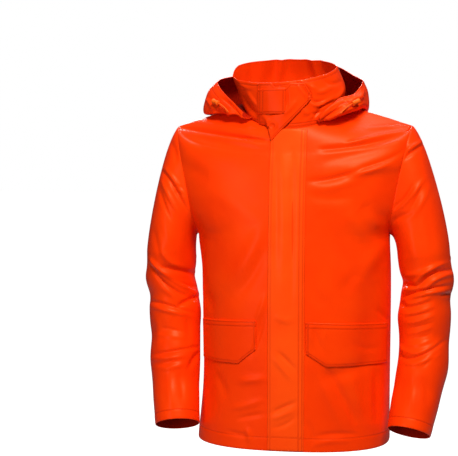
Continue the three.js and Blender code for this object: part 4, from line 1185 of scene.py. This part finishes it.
# The depth tab on the hood's lower back: a small stitched strap of the same cloth that takes in the middle panel.
HOOD_TAB = {"from_turn": 183, "to_turn": 205, "low": 0.42, "high": 0.6}
turns = mix(HOOD_TAB["from_turn"], HOOD_TAB["to_turn"], spaced(34, (0.02, 0.05, 0.09)))
places = mix(HOOD_TAB["low"], HOOD_TAB["high"], spaced(30, (0.02, 0.05, 0.09)))
points, normals = hood_surface(turns[None], places[:, None], LAYER_STEP)
TAB_LINES = tuple((edge, 3) for edge in ("left", "right", "bottom", "top"))
hood_tab = cloth_wall("hood_tab_cloth", points, stitched=sewn_gap(points, TAB_LINES), materials=CLOTH_FINISH)
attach(hood_tab, "root")
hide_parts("hood_tab")
normals = grid_normals(points)
sew("hood_tab_stitches", [path_with_normals(points, normals, *line) for line in TAB_LINES])

# The storm flap: a double strip over the closed front, sewn along its wearer's-left edge with two double rows and
# edge-stitched along its free side. It hangs slack, with a soft fold down its middle.
FLAP = {"free": -34, "sewn": 40, "bottom": -685, "top": -26}
FLAP_FREE_LINE = 5
FLAP_SEWN_LINES = (3, 10.5)
FLAP_CREASES = (
    (292, 148, 292.5, 225, 292, 304, 3.4, -1.6),
    (283, 150, 284, 215, 283, 290, 5, 1.3),
    (275, 140, 276, 200, 276, 262, 3.5, -0.8),
    (278, 350, 286, 358, 297, 369, 2.4, -1.3),
    (274, 356, 282, 366, 292, 378, 3, 1.0),
    (273, 412, 284, 407, 297, 401, 2.6, -1.4),
    (273, 419, 284, 414, 296, 409, 3, 1.1),
    (274, 428, 286, 424, 296, 417, 2.2, -0.9),
    (276, 312, 284, 318, 294, 316, 4, 0.9),
)
FLAP_CREASE_DEPTH = 1.9
HALVINGS = 26


def halve(low, high, still):
    """The highest value from low to high at which a rising test still holds, found by halving."""
    for _ in range(HALVINGS):
        middle = (low + high) / 2
        holds = still(middle)
        low, high = np.where(holds, middle, low), np.where(holds, high, middle)
    return low


def front_at(x, z, lift):
    """The front's cloth under places given by x and z in the front view, lifted off it."""

    def place_at(level):
        shift = smooth(FRONT["shift"], level)
        side = np.where(x < shift, -1, 1)
        arc = arc_at(FRONT, level)
        edge = body_base(FRONT, np.ones_like(level), level, side)[..., 0]
        wide = np.minimum(1, (x - shift) / (edge - shift))
        across = np.arcsin(wide ** (smooth(FRONT["square"], level) / 2) * np.sin(arc)) / arc
        return across, side

    def below(level):
        across, side = place_at(level)
        return body_base(FRONT, across, level, side)[..., 2] < z

    x, z = np.broadcast_arrays(np.asarray(x, float), np.asarray(z, float))
    level = halve(np.zeros(x.shape), np.full(x.shape, float(NECK)), below)
    across, side = place_at(level)
    return body_surface(FRONT, across, level, side, lift)


columns = mix(FLAP["free"], FLAP["sewn"], spaced(34, (0.02, 0.05, 0.09)))
rows = mix(FLAP["bottom"], FLAP["top"], spaced(230, (0.0015, 0.004, 0.008)))
points = front_at(columns[None], rows[:, None], LAYER_STEP)
push = FLAP_CREASE_DEPTH * crease_push(FLAP_CREASES, *seen_at(points)) * ease(0, 12, from_edge(points, "right"))
points = points + grid_normals(points) * push[..., None]
FLAP_LINES = (("left", FLAP_FREE_LINE), ("right", FLAP_SEWN_LINES[0]), ("right", FLAP_SEWN_LINES[1]), ("bottom", HEM_TURN))
flap = cloth_wall("storm_flap_cloth", points, stitched=sewn_gap(points, FLAP_LINES), thick=2.4, materials=FLAP_FINISH_PAINTED_LIGHT)
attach(flap, "root")
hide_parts("storm_flap")
normals = grid_normals(points)
sew("storm_flap_stitches", [path_with_normals(points, normals, *line, lift=1.2) for line in FLAP_LINES])

# The pocket flaps: double cloth, sewn down along the top with two rows, with a cut-off lower corner near the middle.
POCKETS = {
    "left": {"near": 0.098, "far": 0.86, "top": -420, "side": -428, "low": -510, "corner": 0.16, "drop": -484, "lift": 2.8},
    "right": {"near": 0.175, "far": 0.83, "top": -419, "side": -427, "low": -509, "corner": 0.2, "drop": -478, "lift": 2.6},
}
POCKET_LINES = (("top", 3), ("top", 11), ("left", 4), ("right", 4), ("bottom", 4))
POCKET_CREASES = (
    (311.5, 322, 311.8, 332, 312.5, 343, 1.6, 1.6),
    (314, 325, 318, 338, 324, 351, 2.4, -1.5),
    (326, 328, 325, 334, 324, 340, 2.2, 0.8),
    (352, 340, 366, 346, 380, 344, 4, -1.2),
)


def pocket_surface(pocket, side, share, up):
    """A pocket flap on the front: its lower edge rises to the cut-off corner near the centre front."""
    share, up = np.broadcast_arrays(np.asarray(share, float), np.asarray(up, float))
    low = mix(pocket["drop"], pocket["low"], np.minimum(1, share / pocket["corner"]))
    z = mix(low, mix(pocket["top"], pocket["side"], share), up)
    across = mix(pocket["near"], pocket["far"], share)
    level = halve(np.zeros(z.shape), np.full(z.shape, float(UNDERARM)), lambda at: body_base(FRONT, across, at, side)[..., 2] < z)
    return body_surface(FRONT, across, level, side, pocket["lift"])


pocket_paths = []
for name, side in (("left", 1), ("right", -1)):
    pocket = POCKETS[name]
    shares = np.unique(np.concatenate([spaced(80, (0.006, 0.015, 0.03)), [pocket["corner"]]]))
    shares = shares if side > 0 else shares[::-1]
    points = pocket_surface(pocket, side, shares[None], spaced(36, (0.01, 0.03, 0.06))[:, None])
    push = crease_push(POCKET_CREASES, *seen_at(points)) * ease(0, 12, from_edge(points, "top"))
    points = points + grid_normals(points) * push[..., None]
    pocket_gap = sewn_gap(points, POCKET_LINES)
    piece = cloth_wall("pocket_flap_" + name + "_cloth", points, stitched=pocket_gap, thick=2.2, materials=CLOTH_FINISH)
    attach(piece, "root")
    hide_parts("pocket_flap_" + name)
    normals = grid_normals(points)
    pocket_paths += [path_with_normals(points, normals, *line, lift=1.1) for line in POCKET_LINES]
sew("pocket_flap_stitches", pocket_paths)

# The chin guard: the upper end of the closing, folded open across the neck, with a snap under its cloth near the
# point. The throat tab lies on it and is sewn down along its outer side.
TOP_LAYER_STEP = 4.6
GUARD_EDGE = table(
    "x low high",
    (-62, -14, 69),
    (-42, -16, 70),
    (-33, -50, 69),
    (-26, -42, 60),
    (-2, -16, 59),
    (6, -8, 68),
    (32, 20, 68),
    (46, 36, 46),
)
GUARD_RISE = 24
SEAM_BAND = 8
NECK_ROUNDS = 8
SNAP_AT = {"x": 272.6, "y": 123.4, "radius": 3.7, "ring": 1.9}
GUARD_CREASES = (
    (301, 84, 306, 90, 310, 95, 1.5, -1.4),
    (297, 82, 303, 90, 307, 97, 1.6, 1.6),
    (287, 87, 287.4, 96, 287, 105, 1.1, -1.8),
    (283, 112, 290, 106, 296, 98, 2.6, 1.2),
    (268, 113, 274, 111, 283, 110, 1.6, -1.6),
    (262, 112, 268, 120, 270, 130, 2.2, 1.1),
)
GUARD_CREASE_DEPTH = 1.8
TAB = {"x0": -61, "x1": -4, "low": 7, "high": 57}


def collar_at(share, height):
    """The collar over a signed share of the front's neck seam: 1 is the wearer's left shoulder, -1 the right."""
    return collar_from(body_base(FRONT, np.abs(share), NECK, np.where(share < 0, -1, 1)), height)


def neck_front_at(x, z, lift):
    """Cloth in front of the neck at x and z in the front view, body below the neck seam and collar above it."""
    x, z, lift = np.broadcast_arrays(np.asarray(x, float), np.asarray(z, float), np.asarray(lift, float))
    whole = (np.full(x.shape, -1.0), np.full(x.shape, 1.0))
    upright = (np.zeros(x.shape), np.ones(x.shape))
    seam_z = collar_at(halve(*whole, lambda at: collar_at(at, 0 * x)[..., 0] < x), 0 * x)[..., 2]
    below = front_at(x, np.minimum(z, seam_z - SEAM_BAND), lift)
    share = np.zeros(x.shape)
    for _ in range(NECK_ROUNDS):
        height = halve(*upright, lambda at: collar_at(share, at)[..., 2] < z)
        share = halve(*whole, lambda at: collar_at(at, height)[..., 0] < x)
    near = 0.01
    across = collar_at(share + near, height) - collar_at(share - near, height)
    up = collar_at(share, height + near) - collar_at(share, height)
    above = collar_at(share, height) + unit(np.cross(across, up)) * lift[..., None]
    return mix(below, above, np.clip((z - seam_z + SEAM_BAND) / SEAM_BAND, 0, 1)[..., None])


def guard_lift(x):
    """The guard's outer edge lies close and the rest clears the storm flap's top."""
    return mix(LAYER_STEP, TOP_LAYER_STEP, np.clip((x - GUARD_EDGE["x"][0]) / GUARD_RISE, 0, 1))


columns = mix(GUARD_EDGE["x"][0], GUARD_EDGE["x"][-1], spaced(70, (0.008, 0.02, 0.04)))[None]
low, high = (np.interp(columns, GUARD_EDGE["x"], GUARD_EDGE[name]) for name in ("low", "high"))
points = neck_front_at(columns, mix(low, high, spaced(60, (0.008, 0.02, 0.04))[:, None]), guard_lift(columns))
px, py = seen_at(points)
from_snap = np.hypot(px - SNAP_AT["x"], py - SNAP_AT["y"]) / SNAP_AT["radius"]
push = GUARD_CREASE_DEPTH * crease_push(GUARD_CREASES, px, py)
push = push + SNAP_AT["ring"] * np.exp(-(((from_snap - 1) / 0.26) ** 2))
points = points + grid_normals(points) * push[..., None]
GUARD_LINES = (("left", 5), ("bottom", 4), ("right", 5), ("top", 4))
guard_gap = sewn_gap(points, GUARD_LINES)
guard = cloth_wall("chin_guard_cloth", points, stitched=guard_gap, thick=2.2, materials=NECK_FINISH_PAINTED_SHADE)
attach(guard, "root")
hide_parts("chin_guard")
normals = grid_normals(points)
sew("chin_guard_stitches", [path_with_normals(points, normals, *line, lift=1.1) for line in GUARD_LINES])

columns = mix(TAB["x0"], TAB["x1"], spaced(46, (0.012, 0.03, 0.06)))[None]
rows = mix(TAB["low"], TAB["high"], spaced(42, (0.012, 0.03, 0.06)))[:, None]
points = neck_front_at(columns, rows, guard_lift(columns) + LAYER_STEP)
tab_lines = (("left", 5), ("left", 12.5), ("top", 3), ("bottom", 3), ("right", 4))
tab = cloth_wall("throat_tab_cloth", points, stitched=sewn_gap(points, tab_lines), thick=2.2, materials=NECK_FINISH_PAINTED_SHADE)
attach(tab, "root")
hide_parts("throat_tab")
normals = grid_normals(points)
sew("throat_tab_stitches", [path_with_normals(points, normals, *line, lift=1.1) for line in tab_lines])

# The hood's draw cords: braided elastic cord that leaves a waisted moulded lock and hangs with its end bare. Each
# lock is a barrel with a pressed-in button end, and its spring holds it on the cord.
CORD_RADIUS = 1.5
LOCK = {"radius": 6, "long": 17, "waist": 4.6}
CORD_PLACES = {"left": {"turn": 66, "place": 0.7, "lean": -6}, "right": {"turn": 284, "place": 0.72, "lean": 6}}
CORD_TAIL = 30
CORD_DROP = (0, -2, -9)
SEAM_GAP = 0.3
CAD_CLOTH = 1.6


def moulded(name, light, dark):
    """Moulded plastic with a fine matt grain and slightly paler worn places."""
    finish = bpy.data.materials.new(name)
    finish.use_nodes = True
    nodes, links = finish.node_tree.nodes, finish.node_tree.links
    shader = nodes["Principled BSDF"]
    place = nodes.new("ShaderNodeTexCoord")
    worn = nodes.new("ShaderNodeTexNoise")
    worn.inputs["Scale"].default_value = 260
    worn.inputs["Detail"].default_value = 4
    links.new(place.outputs["Object"], worn.inputs["Vector"])
    tone = nodes.new("ShaderNodeValToRGB")
    tone.color_ramp.elements[0].color = (*dark, 1)
    tone.color_ramp.elements[1].color = (*light, 1)
    links.new(worn.outputs["Fac"], tone.inputs["Fac"])
    links.new(tone.outputs["Color"], shader.inputs["Base Color"])
    relief = nodes.new("ShaderNodeBump")
    relief.inputs["Strength"].default_value = 0.25
    relief.inputs["Distance"].default_value = 0.0002
    links.new(worn.outputs["Fac"], relief.inputs["Height"])
    links.new(relief.outputs["Normal"], shader.inputs["Normal"])
    shader.inputs["Roughness"].default_value = 0.45
    shader.inputs["Specular Tint"].default_value = (1, 0.35, 0.12, 1)
    return finish


def braid(name, light, dark):
    """Braided cord: two sets of slanting strands crossing, as waves over the cord's length and girth."""
    finish = bpy.data.materials.new(name)
    finish.use_nodes = True
    nodes, links = finish.node_tree.nodes, finish.node_tree.links
    shader = nodes["Principled BSDF"]
    place = nodes.new("ShaderNodeUVMap")
    place.uv_map = "cord"
    heights = []
    for slant in (0.7, -0.7):
        turned = nodes.new("ShaderNodeMapping")
        turned.inputs["Rotation"].default_value = (0, 0, slant)
        strands = nodes.new("ShaderNodeTexWave")
        strands.inputs["Scale"].default_value = 260
        links.new(place.outputs["UV"], turned.inputs["Vector"])
        links.new(turned.outputs["Vector"], strands.inputs["Vector"])
        heights.append(strands)
    over = nodes.new("ShaderNodeMath")
    over.operation = "MAXIMUM"
    for k in (0, 1):
        links.new(heights[k].outputs["Fac"], over.inputs[k])
    tone = nodes.new("ShaderNodeValToRGB")
    tone.color_ramp.elements[0].color = (*dark, 1)
    tone.color_ramp.elements[1].color = (*light, 1)
    links.new(over.outputs["Value"], tone.inputs["Fac"])
    links.new(tone.outputs["Color"], shader.inputs["Base Color"])
    relief = nodes.new("ShaderNodeBump")
    relief.inputs["Strength"].default_value = 0.6
    relief.inputs["Distance"].default_value = 0.0003
    links.new(over.outputs["Value"], relief.inputs["Height"])
    links.new(relief.outputs["Normal"], shader.inputs["Normal"])
    shader.inputs["Roughness"].default_value = 0.7
    shader.inputs["Specular Tint"].default_value = (1, 0.35, 0.12, 1)
    return finish


LOCK_PLASTIC = moulded("lock_plastic", (0.95, 0.13, 0.008), (0.72, 0.08, 0.004))
CORD_BRAID = braid("cord_braid", (0.9, 0.11, 0.008), (0.5, 0.035, 0.002))


def around_path(name, path, radii, sides, cord_uv=False):
    """A closed tube with its own radius at each point of a path: rings square to the path, and a flat cap at each
    end."""
    along = unit(np.gradient(path, axis=0))
    aside = unit(np.cross(along, np.array([0.31, 0.24, 0.92])))
    other = np.cross(along, aside)
    turn = 2 * np.pi * np.arange(sides) / sides
    ring = aside[:, None] * np.cos(turn)[None, :, None] + other[:, None] * np.sin(turn)[None, :, None]
    points = path[:, None] + ring * np.asarray(radii)[:, None, None]
    number = np.arange(len(path) * sides).reshape(len(path), sides)
    wrapped = np.concatenate([number, number[:, :1]], 1)
    a, b = wrapped[:-1, :-1].ravel(), wrapped[:-1, 1:].ravel()
    c, d = wrapped[1:, 1:].ravel(), wrapped[1:, :-1].ravel()
    faces = list(np.stack([a, b, c, d], 1)) + [number[0][::-1], number[-1]]
    piece = put_mesh(name, points.reshape(-1, 3), faces)
    if cord_uv:
        gone = lengths(path[None], 1)[0]
        uv = np.stack(np.broadcast_arrays(turn[None] * radii[0], gone[:, None]), -1).reshape(-1, 2) * MM
        corners = np.zeros(len(piece.data.loops), int)
        piece.data.loops.foreach_get("vertex_index", corners)
        piece.data.uv_layers.new(name="cord").data.foreach_set("uv", uv[corners].astype(np.float32).ravel())
    return piece


def lock_radii(run):
    """The lock's outline: a waisted barrel with rounded edges, a groove round each end and a narrower button."""
    half = LOCK["long"] / 2
    share = np.abs(run) / half
    radius = LOCK["waist"] + (LOCK["radius"] - LOCK["waist"]) * share**2
    radius = radius - 0.7 * np.exp(-(((share - 0.72) / 0.05) ** 2))
    return radius * np.sqrt(np.clip(1 - ease(0.9, 1.0, share) * 0.36, 0, 1))


for name, spot in CORD_PLACES.items():
    off = CAD_CLOTH / 2 + LOCK["radius"] + SEAM_GAP
    near = 0.5

    def cad_hood(turn):
        """The hood's form without creases, lifted as far as the lock lies off it."""
        wide = hood_base(turn + near, spot["place"]) - hood_base(turn - near, spot["place"])
        high = hood_base(turn, min(spot["place"] + 0.01, 1)) - hood_base(turn, spot["place"] - 0.01)
        return hood_base(turn, spot["place"]) + unit(np.cross(wide, high)) * off

    seat = cad_hood(spot["turn"])
    way = unit(cad_hood(spot["turn"] + spot["lean"]) - seat)
    run = np.linspace(-LOCK["long"] / 2, LOCK["long"] / 2, 40)
    lock = around_path("cord_lock_" + name + "_moulding", seat + way * run[:, None], lock_radii(run), 28)
    lock.data.materials.append(LOCK_PLASTIC)
    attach(lock, "root")
    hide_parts("cord_lock_" + name)
    end = seat + way * (LOCK["long"] / 2 + SEAM_GAP)
    share = np.linspace(0, 1, 26)[:, None]
    route = end + way * CORD_TAIL * share + np.array(CORD_DROP) * share**2
    cord = around_path("cord_" + name + "_braid", route, np.full(26, CORD_RADIUS), 12, True)
    cord.data.materials.append(CORD_BRAID)
    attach(cord, "root")
    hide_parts("cord_" + name)
    tail_long = float(lengths(route[None], 1)[0][-1]) * MM
